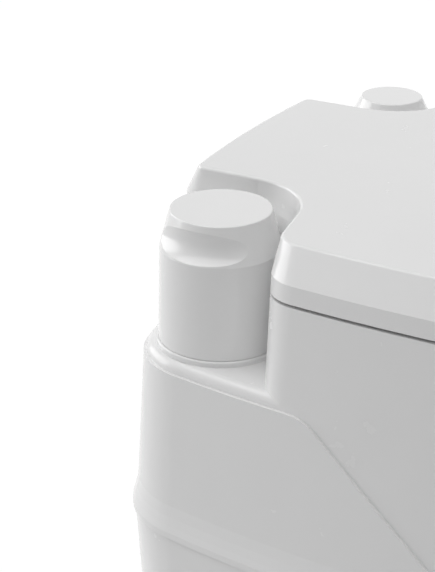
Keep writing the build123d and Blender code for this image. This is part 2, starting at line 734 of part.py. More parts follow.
with BuildPart() as pump_gland:
    add(tube(BARREL_R + 3, ROD_R + PIN_FIT, BARREL_TOP_Z, BARREL_TOP_Z + 5, CORNER_X, CORNER_Y))
    add(tube(BARREL_BORE_R - 0.05, ROD_R + PIN_FIT, BARREL_TOP_Z - 8, BARREL_TOP_Z, CORNER_X, CORNER_Y))
save(pump_gland.part, "pump_gland")

KNOB_Z = TOWER_TOP_Z + KNOB_GAP
with BuildPart() as pump_knob:
    with BuildSketch(Plane(origin=(CORNER_X, CORNER_Y, 0), x_dir=(1, 0, 0), z_dir=(0, -1, 0))):
        with BuildLine():
            Polyline(
                (ROD_R, KNOB_Z + 6),
                (ROD_R + 4, KNOB_Z + 6),
                (ROD_R + 4, KNOB_TOP_Z - 8),
                (KNOB_TOP_R - KNOB_WALL - 2, KNOB_TOP_Z - 8),
                (KNOB_R - KNOB_WALL, KNOB_Z + 2),
                (KNOB_R - KNOB_WALL, KNOB_Z),
                (KNOB_R, KNOB_Z),
                (KNOB_WAIST_R, KNOB_CONE_Z),
                (KNOB_TOP_R, KNOB_TOP_Z),
                (0, KNOB_TOP_Z),
                (0, KNOB_TOP_Z - 6),
                (ROD_R, KNOB_TOP_Z - 6),
                close=True,
            )
        make_face()
    revolve(axis=Axis((CORNER_X, CORNER_Y, 0), (0, 0, 1)))
    fillet(pump_knob.edges().filter_by(GeomType.CIRCLE).sort_by(Axis.Z)[-1], 1.0)
save(pump_knob.part, "pump_knob")

pump_rod = tube(ROD_R, 0, PISTON_Z, KNOB_TOP_Z - 6, CORNER_X, CORNER_Y)
save(pump_rod, "pump_rod")

with BuildPart() as pump_piston:
    add(tube(BARREL_BORE_R - 0.6, ROD_R, PISTON_Z, PISTON_Z + PISTON_H, CORNER_X, CORNER_Y))
    add(tube(BARREL_BORE_R, BARREL_BORE_R - 2.6, PISTON_Z + 3.5, PISTON_Z + 6.5, CORNER_X, CORNER_Y),
        mode=Mode.SUBTRACT)
save(pump_piston.part, "pump_piston")

piston_seal = tube(BARREL_BORE_R - 0.05, BARREL_BORE_R - 2.6, PISTON_Z + 3.5, PISTON_Z + 6.5, CORNER_X, CORNER_Y)
save(piston_seal, "piston_seal")

# Foot valve below the barrel: a strainer cage with a ball on a seat
BALL_Z = BARREL_BOTTOM_Z - 11 + sqrt(FOOT_BALL_R**2 - FOOT_SEAT_R**2) + 0.05
with BuildPart() as foot_valve_cage:
    add(tube(BARREL_R + 2, BARREL_R + 0.05, BARREL_BOTTOM_Z - 2, BARREL_BOTTOM_Z + 8, CORNER_X, CORNER_Y))
    add(tube(BARREL_R + 2, 0, BARREL_BOTTOM_Z - 15, BARREL_BOTTOM_Z, CORNER_X, CORNER_Y))
    add(tube(FOOT_BORE_R, 0, BARREL_BOTTOM_Z - 11, BARREL_BOTTOM_Z + 1, CORNER_X, CORNER_Y), mode=Mode.SUBTRACT)
    add(tube(FOOT_SEAT_R, 0, BARREL_BOTTOM_Z - 16, BARREL_BOTTOM_Z, CORNER_X, CORNER_Y), mode=Mode.SUBTRACT)
    # feet that hold the inlet off the tank floor
    with BuildSketch(Plane.XY.offset(FLOOR_Z + FLOOR_H)):
        with Locations((CORNER_X, CORNER_Y)):
            with PolarLocations(BARREL_R - 2, 3):
                Circle(3)
    extrude(amount=BARREL_BOTTOM_Z - 15 - FLOOR_Z - FLOOR_H + 1)
    # crossbar that keeps the ball in
    add(block((CORNER_X - FOOT_BORE_R - 1, CORNER_Y - 1.5, BALL_Z + FOOT_BALL_R + FOOT_LIFT),
              (CORNER_X + FOOT_BORE_R + 1, CORNER_Y + 1.5, BARREL_BOTTOM_Z)))
save(foot_valve_cage.part, "foot_valve_cage")

with BuildPart() as foot_valve_ball:
    with Locations((CORNER_X, CORNER_Y, BALL_Z)):
        Sphere(FOOT_BALL_R)
save(foot_valve_ball.part, "foot_valve_ball")

# Hose from the pump outlet to the nozzle in the rim of the bowl
BOWL_REAR_Y = BOWL_Y + BOWL_Y_R
hose_start = (CORNER_X - BARREL_R - 6, CORNER_Y, OUTLET_Z)
hose_end = (0, BOWL_REAR_Y + 10, NOZZLE_Z)
hose_route = [
    hose_start,
    (62, CORNER_Y, OUTLET_Z),
    (30, CORNER_Y + 3, OUTLET_Z + 18),
    (8, CORNER_Y + 9, NOZZLE_Z - 18),
    (0, CORNER_Y + 8, NOZZLE_Z),
    hose_end,
]
with BuildPart() as flush_hose:
    with BuildLine():
        FilletPolyline(*hose_route, radius=[22, 24, 14, 9])
    with BuildSketch(Plane(origin=hose_start, z_dir=(-1, 0, 0))):
        Circle(OUTLET_R + 2.5)
        Circle(OUTLET_R + 0.05, mode=Mode.SUBTRACT)
    sweep()
save(flush_hose.part, "flush_hose")

nozzle_plane = Plane(origin=(0, BOWL_REAR_Y + 16, NOZZLE_Z), x_dir=(1, 0, 0), z_dir=(0, -1, 0))
with BuildPart() as rim_nozzle:
    with BuildSketch(nozzle_plane):
        Circle(OUTLET_R)
    extrude(amount=28)
    with BuildSketch(nozzle_plane.offset(23)):
        SlotOverall(30, 13)
    extrude(amount=5)
    with BuildSketch(nozzle_plane):
        Circle(OUTLET_BORE_R)
    extrude(amount=25, mode=Mode.SUBTRACT)
    with BuildSketch(nozzle_plane.offset(25)):
        SlotOverall(24, 4)
    extrude(amount=4, mode=Mode.SUBTRACT)
save(rim_nozzle.part, "rim_nozzle")

# Seat: a ring with the pockets of the body, set in from the lid
with BuildPart() as seat:
    for z, shrink in ((SEAT_Z, 0.0), (SEAT_Z + SEAT_H, 2.5)):
        with BuildSketch(Plane.XY.offset(z)):
            add(pocketed_outline(-LID_WALL - SEAT_GAP - 1.2 - shrink, SEAT_REAR_Y - HALF_Y - shrink,
                                 pocket_r(z) + LID_WALL + SEAT_GAP + shrink, COLUMN_R - 6,
                                 FRONT_CORNER_R - 6, 10))
    loft(ruled=True)
    with BuildSketch(Plane.XY.offset(SEAT_Z)):
        with Locations((0, SEAT_CENTRE_Y)):
            Ellipse(SEAT_HOLE_X, SEAT_HOLE_Y)
    extrude(amount=SEAT_H, mode=Mode.SUBTRACT, taper=-6)
    fillet(seat.faces().sort_by(Axis.Z)[-1].edges(), 4.0)
    # hollow underside with four bosses for the buffers
    with BuildSketch(Plane.XY.offset(SEAT_Z)):
        add(pocketed_outline(-LID_WALL - SEAT_GAP - 1.2 - SEAT_WALL, SEAT_REAR_Y - SEAT_WALL - HALF_Y,
                             pocket_r(SEAT_Z) + LID_WALL + SEAT_GAP + SEAT_WALL, COLUMN_R - 6,
                             FRONT_CORNER_R - 6, 10))
        with Locations((0, SEAT_CENTRE_Y)):
            Ellipse(SEAT_HOLE_X + SEAT_WALL + 1, SEAT_HOLE_Y + SEAT_WALL + 1, mode=Mode.SUBTRACT)
        with Locations(*BUFFER_SPOTS):
            Circle(BUFFER_R + 1.5, mode=Mode.SUBTRACT)
    extrude(amount=SEAT_H - SEAT_WALL, mode=Mode.SUBTRACT)
    # lugs that reach back to the hinge pins
    for side in (-1, 1):
        with BuildSketch(Plane.YZ.offset(side * (KNUCKLE_X - KNUCKLE_W - SIDE_PLAY))):
            with Locations((HINGE_Y, HINGE_Z)):
                Circle(KNUCKLE_R)
            Polygon((SEAT_REAR_Y - 12, SEAT_Z + 2), (HINGE_Y, HINGE_Z - KNUCKLE_R + 0.4),
                    (HINGE_Y, HINGE_Z + KNUCKLE_R - 0.1), (SEAT_REAR_Y - 12, SEAT_Z + SEAT_H - 1), align=None)
            with Locations((HINGE_Y, HINGE_Z)):
                Circle(PIN_R + PIN_FIT, mode=Mode.SUBTRACT)
        extrude(amount=-side * KNUCKLE_W)
save(seat.part, "seat")

with BuildPart() as seat_buffers:
    with BuildSketch(Plane.XY.offset(DECK_Z + SEAT_SEAL)):
        with Locations(*BUFFER_SPOTS):
            Circle(BUFFER_R)
    extrude(amount=SEAT_Z - DECK_Z - SEAT_SEAL)
save(seat_buffers.part, "seat_buffers")

# Lid: a shallow tray turned over, with a broad bevel that narrows round the rear corners
LID_Z = DECK_Z + LID_GAP


def lid_form(inset, low_z, high_z):
    """The lid's outside, or its inside when inset: an upright skirt and a bevel."""
    skirt_z = LID_Z + SKIRT_H - inset * 0.4
    sections = [
        (low_z, 0.0, 0.0, 0.0, COLUMN_R, FRONT_CORNER_R, LID_NOSE_R),
        (skirt_z, SKIRT_LEAN, SKIRT_LEAN, 0.3, COLUMN_R, FRONT_CORNER_R, LID_NOSE_R),
        (high_z, BEVEL + SKIRT_LEAN, BEVEL_REAR, BEVEL_POCKET, LID_TOP_COLUMN_R, FRONT_CORNER_R - 6, LID_TOP_NOSE_R),
    ]
    with BuildPart() as form:
        for z, side_in, rear_in, pocket_in, column_r, front_r, nose_r in sections:
            with BuildSketch(Plane.XY.offset(z)):
                add(pocketed_outline(-side_in - inset, LID_REAR - rear_in - inset, pocket_r(LID_Z) + pocket_in + inset,
                                     column_r - inset, front_r - inset, nose_r - inset * 0.5))
        loft(ruled=True)
    return form.part


with BuildPart() as lid:
    add(lid_form(0, LID_Z, HEIGHT))
    fillet(lid.faces().sort_by(Axis.Z)[-1].edges(), LID_EDGE_R)
    add(lid_form(LID_WALL, LID_Z - 1, HEIGHT - LID_WALL), mode=Mode.SUBTRACT)
    for side in (-1, 1):
        inner_x = side * (KNUCKLE_X + SIDE_PLAY)
        # hinge lug, joined to the skirt and to the top
        with BuildSketch(Plane.YZ.offset(inner_x)):
            with Locations((HINGE_Y, HINGE_Z)):
                Circle(KNUCKLE_R)
            Polygon((HINGE_Y - KNUCKLE_R, HINGE_Z), (HINGE_Y + KNUCKLE_R, HINGE_Z),
                    (HINGE_Y + KNUCKLE_R - 3, HEIGHT - LID_WALL + 1), (HINGE_Y - 9, HEIGHT - LID_WALL + 1), align=None)
        extrude(amount=side * KNUCKLE_W)
        with BuildSketch(Plane.YZ.offset(inner_x)):
            with Locations((HINGE_Y, HINGE_Z)):
                Circle(PIN_R + PIN_FIT)
        extrude(amount=side * KNUCKLE_W, mode=Mode.SUBTRACT)
        # notch in the skirt for the fixed bracket and the seat's lug
        notch_low_x = KNUCKLE_X - 2 * KNUCKLE_W - SIDE_PLAY - 1
        notch_high_x = KNUCKLE_X + SIDE_PLAY / 2
        add(block((min(side * notch_low_x, side * notch_high_x), SEAT_REAR_Y + 4, LID_Z - 2),
                  (max(side * notch_low_x, side * notch_high_x), DEPTH / 2 + 5, LID_OPEN_NOTCH_Z)),
            mode=Mode.SUBTRACT)
save(lid.part, "lid")

with BuildPart() as lid_buffers:
    with BuildSketch(Plane.XY.offset(SEAT_Z + SEAT_H + SEAT_SEAL)):
        with Locations(*BUFFER_SPOTS):
            Circle(BUFFER_R)
    extrude(amount=HEIGHT - LID_WALL - SEAT_Z - SEAT_H - SEAT_SEAL)
save(lid_buffers.part, "lid_buffers")

# Hinge brackets on the deck, their pins and screws
with BuildPart() as hinge_brackets:
    for side in (-1, 1):
        outer_x = side * KNUCKLE_X
        with BuildSketch(Plane.YZ.offset(outer_x)):
            with Locations((HINGE_Y, HINGE_Z)):
                Circle(KNUCKLE_R)
            Polygon((BRACKET_SCREW_Y, DECK_Z), (TROUGH_Y, DECK_Z), (HINGE_Y, HINGE_Z - KNUCKLE_R),
                    (HINGE_Y - 2, HINGE_Z + KNUCKLE_R - 0.8), (TROUGH_Y + 1, DECK_Z + BRACKET_FOOT_H + 1),
                    (BRACKET_SCREW_Y, DECK_Z + BRACKET_FOOT_H), align=None)
        extrude(amount=-side * KNUCKLE_W)
        with BuildSketch(Plane.XY.offset(DECK_Z)):
            with Locations((side * (KNUCKLE_X - KNUCKLE_W / 2), BRACKET_SCREW_Y)):
                RectangleRounded(20, 14, 3)
        extrude(amount=BRACKET_FOOT_H)
        with BuildSketch(Plane.YZ.offset(outer_x)):
            with Locations((HINGE_Y, HINGE_Z)):
                Circle(PIN_R)
        extrude(amount=-side * KNUCKLE_W, mode=Mode.SUBTRACT)
    for x, y in SCREW_SPOTS:
        with Locations((x, y, DECK_Z + BRACKET_FOOT_H)):
            CounterSinkHole(SCREW_R, SCREW_HEAD_R, depth=BRACKET_FOOT_H)
save(hinge_brackets.part, "hinge_brackets")

with BuildPart() as hinge_pins:
    pin_low_x = KNUCKLE_X - 2 * KNUCKLE_W - SIDE_PLAY
    pin_high_x = KNUCKLE_X + KNUCKLE_W + SIDE_PLAY
    with BuildSketch(Plane.YZ.offset(pin_low_x)):
        with Locations((HINGE_Y, HINGE_Z)):
            Circle(PIN_R)
    extrude(amount=pin_high_x - pin_low_x)
    mirror(about=Plane.YZ)
save(hinge_pins.part, "hinge_pins")


def screw(x, y, top_z, length):
    """A countersunk screw with a cross recess, its head flush at top_z."""
    cone_h = SCREW_HEAD_R - SCREW_R
    with BuildPart() as body:
        with BuildSketch(Plane(origin=(x, y, top_z), x_dir=(1, 0, 0), z_dir=(0, -1, 0))):
            with BuildLine():
                Polyline((0, 0), (SCREW_HEAD_R - 0.1, 0), (SCREW_R - 0.05, -cone_h), (SCREW_R - 0.05, 1 - length),
                         (0.3, -length), (0, -length), close=True)
            make_face()
        revolve(axis=Axis((x, y, 0), (0, 0, 1)))
        with BuildSketch(Plane.XY.offset(top_z)):
            with Locations((x, y)):
                Rectangle(3.0, 0.7)
                Rectangle(0.7, 3.0)
        extrude(amount=-1.1, mode=Mode.SUBTRACT)
    return body.part


with BuildPart() as hinge_screws:
    for x, y in SCREW_SPOTS:
        add(screw(x, y, DECK_Z + BRACKET_FOOT_H, SCREW_LENGTH))
save(hinge_screws.part, "hinge_screws")

# Waste tank
spout_bay = block((BAY_LOW_X, BAY_FRONT_Y, BAY_FLOOR_Z), (BAY_HIGH_X, DEPTH, SEAM_Z + 1))
spout_bay_wall = block((BAY_LOW_X - TANK_WALL, BAY_FRONT_Y - TANK_WALL, BAY_FLOOR_Z - TANK_WALL),
                       (BAY_HIGH_X + TANK_WALL, DEPTH, SEAM_Z + 1))
valve_trough = block((-TROUGH_HALF_X, -DEPTH, TANK_TOP_Z), (TROUGH_HALF_X, TROUGH_REAR_Y, SEAM_Z + 1))
valve_trough_wall = block((-TROUGH_HALF_X - TANK_WALL, -DEPTH, TANK_TOP_Z - TANK_WALL),
                          (TROUGH_HALF_X + TANK_WALL, TROUGH_REAR_Y + TANK_WALL, SEAM_Z + 1))
grip = block((-GRIP_HALF_X, -DEPTH, GRIP_LOW_Z), (GRIP_HALF_X, GRIP_BACK_Y, GRIP_HIGH_Z))
grip_wall = block((-GRIP_HALF_X - TANK_WALL, -DEPTH, GRIP_LOW_Z - TANK_WALL),
                  (GRIP_HALF_X + TANK_WALL, GRIP_BACK_Y + TANK_WALL, GRIP_HIGH_Z + TANK_WALL))

with BuildPart() as tank_cavity:
    add(tank_block(TANK_WALL, TANK_FOOT_H + TANK_WALL, SEAM_Z - TANK_WALL))
    add(spout_bay_wall, mode=Mode.SUBTRACT)
    add(valve_trough_wall, mode=Mode.SUBTRACT)
    add(grip_wall, mode=Mode.SUBTRACT)
    add(latch_pockets(TANK_WALL, LATCH_POCKET_LOW_Z, SEAM_Z, LATCH_POCKET_X), mode=Mode.SUBTRACT)
    add(tube(VENT_POCKET_R + TANK_WALL, 0, VENT_POCKET_Z - TANK_WALL, SEAM_Z, VENT_X, VENT_Y), mode=Mode.SUBTRACT)

with BuildPart() as waste_tank:
    add(tank_block(0, TANK_FOOT_H, SEAM_Z))
    fillet(waste_tank.faces().sort_by(Axis.Z)[0].edges(), TANK_EDGE_R)
    fillet(waste_tank.faces().sort_by(Axis.Z)[-1].edges(), 1.5)
    # moulded feet
    with BuildSketch(Plane.XY):
        with GridLocations(2 * FOOT_X, 2 * FOOT_Y, 2, 2):
            Circle(TANK_FOOT_R)
    extrude(amount=TANK_FOOT_H + 1)
    add(tank_cavity.part, mode=Mode.SUBTRACT)
    add(spout_bay, mode=Mode.SUBTRACT)
    add(valve_trough, mode=Mode.SUBTRACT)
    add(grip, mode=Mode.SUBTRACT)
    add(latch_pockets(0, LATCH_POCKET_LOW_Z, SEAM_Z + 1, LATCH_POCKET_X), mode=Mode.SUBTRACT)
    # port under the valve
    add(tube(FRAME_PORT_R, 0, TANK_TOP_Z - 2 * TANK_WALL, TANK_TOP_Z + 1, 0, OUTLET_Y), mode=Mode.SUBTRACT)
    # neck for the spout
    add(tube(NECK_TUBE_R, 0, BAY_FLOOR_Z - 1, BAY_FLOOR_Z + NECK_TUBE_H, SPOUT_X, SPOUT_Y))
    add(tube(NECK_TUBE_R + 1, NECK_TUBE_R - 2, RING_Z - RING_R, RING_Z + RING_R, SPOUT_X, SPOUT_Y), mode=Mode.SUBTRACT)
    add(tube(NECK_TUBE_BORE_R, 0, BAY_FLOOR_Z - 2 * TANK_WALL, BAY_FLOOR_Z + NECK_TUBE_H + 1, SPOUT_X, SPOUT_Y),
        mode=Mode.SUBTRACT)
    # pocket and hole for the vent
    add(tube(VENT_POCKET_R, 0, VENT_POCKET_Z, SEAM_Z + 1, VENT_X, VENT_Y), mode=Mode.SUBTRACT)
    add(tube(VENT_TUBE_R, 0, VENT_POCKET_Z - 2 * TANK_WALL, VENT_POCKET_Z + 1, VENT_X, VENT_Y), mode=Mode.SUBTRACT)
    # slot for the level window and lugs for the float's pin
    add(sight_block(GAUGE_X, GAUGE_HALF_X, GAUGE_LOW_Z, GAUGE_HIGH_Z, 0), mode=Mode.SUBTRACT)
    for side in (-1, 1):
        lug_x = GAUGE_X + side * FLOAT_LUG_X
        add(block((lug_x - 3, tank_front_y(lug_x, FLOAT_PIN_Z) + TANK_WALL / 2, FLOAT_PIN_Z - 6),
                  (lug_x + 3, FLOAT_PIN_Y + 6, FLOAT_PIN_Z + 6)))
        with BuildSketch(Plane.YZ.offset(GAUGE_X + side * FLOAT_LUG_X - 4)):
            with Locations((FLOAT_PIN_Y, FLOAT_PIN_Z)):
                Circle(FLOAT_PIN_R)
        extrude(amount=8, mode=Mode.SUBTRACT)
        # bores for the latch pins
        with BuildSketch(Plane.XZ.offset(-LATCH_Y - LATCH_POCKET_HALF_Y - 3)):
            with Locations((side * LATCH_PIN_X, LATCH_PIN_Z)):
                Circle(LATCH_PIN_R)
        extrude(amount=2 * LATCH_POCKET_HALF_Y + 6, mode=Mode.SUBTRACT)
    # holes for the screws of the valve frame
    with BuildSketch(Plane.XY.offset(TANK_TOP_Z + 1)):
        with Locations(*FRAME_SCREW_SPOTS):
            Circle(SCREW_R)
    extrude(amount=-TANK_WALL, mode=Mode.SUBTRACT)
save(waste_tank.part, "waste_tank")

with BuildPart() as waste_level_window:
    add(tank_block(WINDOW_SET_IN, GAUGE_LOW_Z - 5, GAUGE_HIGH_Z + 5))
    add(tank_block(TANK_WALL, GAUGE_LOW_Z - 6, GAUGE_HIGH_Z + 6), mode=Mode.SUBTRACT)
    add(sight_block(GAUGE_X, GAUGE_HALF_X, GAUGE_LOW_Z, GAUGE_HIGH_Z, WINDOW_FIT), mode=Mode.INTERSECT)
save(waste_level_window.part, "waste_level_window")

# Float on a swinging arm, hanging low while the tank is empty
arm_turn = radians(-FLOAT_DROP)
float_plane = Plane(origin=(GAUGE_X, FLOAT_PIN_Y, FLOAT_PIN_Z), x_dir=(0, cos(arm_turn), sin(arm_turn)), z_dir=(1, 0, 0))
with BuildPart() as level_float:
    with BuildSketch(float_plane.offset(-4)):
        Circle(4.5)
        with Locations((FLOAT_ARM / 2, 0)):
            Rectangle(FLOAT_ARM, 4)
    extrude(amount=8)
    with BuildSketch(float_plane.offset(-FLOAT_R)):
        with Locations((FLOAT_ARM, 0)):
            Circle(FLOAT_R)
    extrude(amount=2 * FLOAT_R)
    with BuildSketch(float_plane.offset(-20)):
        Circle(FLOAT_PIN_R + PIN_FIT)
    extrude(amount=40, mode=Mode.SUBTRACT)
save(level_float.part, "level_float")

with BuildPart() as float_pin:
    with BuildSketch(Plane.YZ.offset(GAUGE_X - FLOAT_LUG_X - 3)):
        with Locations((FLOAT_PIN_Y, FLOAT_PIN_Z)):
            Circle(FLOAT_PIN_R)
    extrude(amount=2 * FLOAT_LUG_X + 6)
save(float_pin.part, "float_pin")

# Slide valve: frame, seal, blade and handle
BLADE_TOP_Z = BLADE_Z + BLADE_H
BLADE_FRONT_Y = BLADE_REAR_Y - BLADE_LENGTH
with BuildPart() as valve_frame:
    add(block((-FRAME_HALF_X, FRAME_FRONT_Y, TANK_TOP_Z), (FRAME_HALF_X, FRAME_REAR_Y, FRAME_TOP_Z)))
    fillet(valve_frame.edges().filter_by(Axis.Z), 8)
    add(block((-BLADE_HALF_X - BLADE_FIT, -DEPTH, BLADE_Z - BLADE_FIT / 2),
              (BLADE_HALF_X + BLADE_FIT, BLADE_REAR_Y + BLADE_FIT, BLADE_TOP_Z + BLADE_FIT / 2)), mode=Mode.SUBTRACT)
    add(tube(FRAME_PORT_R, 0, TANK_TOP_Z - 1, FRAME_TOP_Z + 1, 0, OUTLET_Y), mode=Mode.SUBTRACT)
    add(tube(LIP_SEAL_R + LIP_SEAL_W / 2, LIP_SEAL_R - LIP_SEAL_W / 2, TANK_TOP_Z + 1.2, BLADE_Z, 0, OUTLET_Y),
        mode=Mode.SUBTRACT)
    for x, y in FRAME_SCREW_SPOTS:
        with Locations((x, y, FRAME_TOP_Z)):
            CounterSinkHole(SCREW_R, SCREW_HEAD_R, depth=FRAME_TOP_Z - TANK_TOP_Z)
save(valve_frame.part, "valve_frame")

valve_lip_seal = tube(LIP_SEAL_R + LIP_SEAL_W / 2, LIP_SEAL_R - LIP_SEAL_W / 2, TANK_TOP_Z + 1.2,
                      BLADE_Z - SEAT_SEAL, 0, OUTLET_Y)
save(valve_lip_seal, "valve_lip_seal")

with BuildPart() as valve_frame_screws:
    for x, y in FRAME_SCREW_SPOTS:
        add(screw(x, y, FRAME_TOP_Z, FRAME_TOP_Z - TANK_TOP_Z + TANK_WALL - 1))
save(valve_frame_screws.part, "valve_frame_screws")

with BuildPart() as valve_blade:
    with BuildSketch(Plane.XY.offset(BLADE_Z)):
        with Locations((0, (BLADE_FRONT_Y + BLADE_REAR_Y) / 2)):
            RectangleRounded(2 * BLADE_HALF_X, BLADE_LENGTH, 6)
        with Locations((0, (HANDLE_FRONT_Y + 6 + BLADE_FRONT_Y + 5) / 2)):
            Rectangle(2 * STEM_HALF_X, BLADE_FRONT_Y + 5 - HANDLE_FRONT_Y - 6)
    extrude(amount=BLADE_H)
save(valve_blade.part, "valve_blade")

with BuildPart() as valve_handle:
    add(block((-HANDLE_HALF_X, HANDLE_FRONT_Y, HANDLE_Z), (HANDLE_HALF_X, HANDLE_FRONT_Y + HANDLE_DEPTH, HANDLE_Z + HANDLE_H)))
    fillet(valve_handle.edges().filter_by(Axis.Z), 5)
    fillet(valve_handle.faces().sort_by(Axis.Z)[0].edges(), 1.5)
    fillet(valve_handle.faces().sort_by(Axis.Z)[-1].edges(), 1.5)
    add(block((-STEM_HALF_X, HANDLE_FRONT_Y + 6, BLADE_Z), (STEM_HALF_X, 0, BLADE_TOP_Z)), mode=Mode.SUBTRACT)
save(valve_handle.part, "valve_handle")

# Pour-out spout that swivels on the neck
ELBOW_BORE_R = NECK_TUBE_R + RING_PLAY
ELBOW_R = ELBOW_BORE_R + ELBOW_WALL
spout_plane = Plane(origin=(SPOUT_X, SPOUT_Y, SPOUT_Z), x_dir=(0, 1, 0), z_dir=(-1, 0, 0))
with BuildPart() as spout_elbow:
    add(tube(ELBOW_R, 0, BAY_FLOOR_Z + SEAT_SEAL, ELBOW_TOP_Z, SPOUT_X, SPOUT_Y))
    fillet(spout_elbow.edges().filter_by(GeomType.CIRCLE).sort_by(Axis.Z)[-1], 6)
    with BuildSketch(spout_plane):
        Circle(SPOUT_R)
    extrude(amount=SPOUT_LENGTH)
    add(tube(ELBOW_BORE_R, 0, BAY_FLOOR_Z, ELBOW_TOP_Z - ELBOW_WALL, SPOUT_X, SPOUT_Y), mode=Mode.SUBTRACT)
    with BuildSketch(spout_plane):
        Circle(SPOUT_BORE_R)
    extrude(amount=SPOUT_LENGTH + 1, mode=Mode.SUBTRACT)
save(spout_elbow.part, "spout_elbow")

with BuildPart() as spout_seal:
    with BuildSketch(Plane(origin=(SPOUT_X, SPOUT_Y, RING_Z), x_dir=(1, 0, 0), z_dir=(0, -1, 0))):
        with Locations((NECK_TUBE_R - 2 + RING_R, 0)):
            Circle(RING_R)
    revolve(axis=Axis((SPOUT_X, SPOUT_Y, 0), (0, 0, 1)))
save(spout_seal.part, "spout_seal")

cap_mouth = spout_plane.offset(SPOUT_LENGTH + SEAT_SEAL + WASHER_H + SPOUT_CAP_WALL - SPOUT_CAP_L)
with BuildPart() as spout_cap:
    with BuildSketch(cap_mouth):
        Circle(SPOUT_CAP_R)
        with PolarLocations(SPOUT_CAP_R + 1.2, 12):
            Circle(2.4, mode=Mode.SUBTRACT)
    extrude(amount=SPOUT_CAP_L)
    with BuildSketch(cap_mouth):
        Circle(SPOUT_R + 0.35)
    extrude(amount=SPOUT_CAP_L - SPOUT_CAP_WALL, mode=Mode.SUBTRACT)
save(spout_cap.part, "spout_cap")

with BuildPart() as spout_cap_washer:
    with BuildSketch(spout_plane.offset(SPOUT_LENGTH + SEAT_SEAL)):
        Circle(SPOUT_R)
        Circle(SPOUT_BORE_R - 1, mode=Mode.SUBTRACT)
    extrude(amount=WASHER_H - 0.05)
save(spout_cap_washer.part, "spout_cap_washer")

# Vent button with its housing, spring and seal
with BuildPart() as vent_housing:
    add(tube(VENT_FLANGE_R, VENT_BORE_R, VENT_POCKET_Z, VENT_POCKET_Z + VENT_FLANGE_H, VENT_X, VENT_Y))
    add(tube(VENT_TUBE_R, VENT_BORE_R, VENT_TUBE_Z, VENT_POCKET_Z + 1, VENT_X, VENT_Y))
save(vent_housing.part, "vent_housing")

with BuildPart() as vent_button:
    add(tube(VENT_HEAD_R, 0, VENT_HEAD_Z, VENT_HEAD_Z + VENT_HEAD_H, VENT_X, VENT_Y))
    fillet(vent_button.edges().sort_by(Axis.Z)[-1], 1.2)
    add(tube(VENT_BORE_R - PIN_FIT, 0, VENT_TUBE_Z - SEAT_SEAL, VENT_HEAD_Z, VENT_X, VENT_Y))
    add(tube(VENT_TUBE_R, 0, VENT_TUBE_Z - SEAT_SEAL - 6, VENT_TUBE_Z - SEAT_SEAL - 2, VENT_X, VENT_Y))
    add(tube(VENT_BORE_R - 2, 0, VENT_TUBE_Z - SEAT_SEAL - 6, VENT_TUBE_Z, VENT_X, VENT_Y))
save(vent_button.part, "vent_button")

vent_seal = tube(VENT_TUBE_R, VENT_BORE_R - PIN_FIT - 1.9, VENT_TUBE_Z - SEAT_SEAL - 2, VENT_TUBE_Z - SEAT_SEAL,
                 VENT_X, VENT_Y)
save(vent_seal, "vent_seal")

vent_spring = tube(VENT_HEAD_R - 0.5, VENT_BORE_R + 0.8, VENT_POCKET_Z + VENT_FLANGE_H, VENT_HEAD_Z, VENT_X, VENT_Y)
save(vent_spring, "vent_spring")

# Side latches, one each side, hinged low on the waste tank and closing over the flush tank's lugs
NOSE_LOW_Z = SEAM_Z + LATCH_LUG_H + 0.5
for side, name in ((-1, "latch_left"), (1, "latch_right")):
    with BuildPart() as latch:
        with BuildSketch(Plane.XZ.offset(-LATCH_Y - LATCH_HALF_Y)):
            with Locations((LATCH_PIN_X, LATCH_PIN_Z)):
                Circle(LATCH_KNUCKLE_R)
            Polygon((LATCH_PIN_X, LATCH_PIN_Z - LATCH_KNUCKLE_R), (LATCH_PIN_X + 2, LATCH_PIN_Z - LATCH_KNUCKLE_R),
                    (LATCH_OUT_X - 0.5, LATCH_PIN_Z), (LATCH_OUT_X + 1.2, NOSE_LOW_Z + LATCH_NOSE_H),
                    (LATCH_OUT_X + 1.2 - LATCH_PLATE, NOSE_LOW_Z + LATCH_NOSE_H + 3),
                    (LATCH_LUG_X + LATCH_NOSE_GAP, NOSE_LOW_Z + LATCH_NOSE_H + 3),
                    (LATCH_LUG_X + LATCH_NOSE_GAP, NOSE_LOW_Z), (LATCH_LUG_X + 1.2, NOSE_LOW_Z - 3),
                    (LATCH_OUT_X - LATCH_PLATE, LATCH_PIN_Z + 14), (LATCH_PIN_X, LATCH_PIN_Z + LATCH_KNUCKLE_R),
                    align=None)
        extrude(amount=2 * LATCH_HALF_Y)
        with BuildSketch(Plane.XZ.offset(-LATCH_Y - LATCH_HALF_Y)):
            with Locations((LATCH_PIN_X, LATCH_PIN_Z)):
                Circle(LATCH_PIN_R + PIN_FIT)
        extrude(amount=2 * LATCH_HALF_Y, mode=Mode.SUBTRACT)
        if side < 0:
            mirror(about=Plane.YZ, mode=Mode.REPLACE)
    save(latch.part, name)

with BuildPart() as latch_pins:
    with BuildSketch(Plane.XZ.offset(-LATCH_Y - LATCH_POCKET_HALF_Y - 3)):
        with Locations((LATCH_PIN_X, LATCH_PIN_Z)):
            Circle(LATCH_PIN_R)
    extrude(amount=2 * LATCH_POCKET_HALF_Y + 6)
    mirror(about=Plane.YZ)
save(latch_pins.part, "latch_pins")
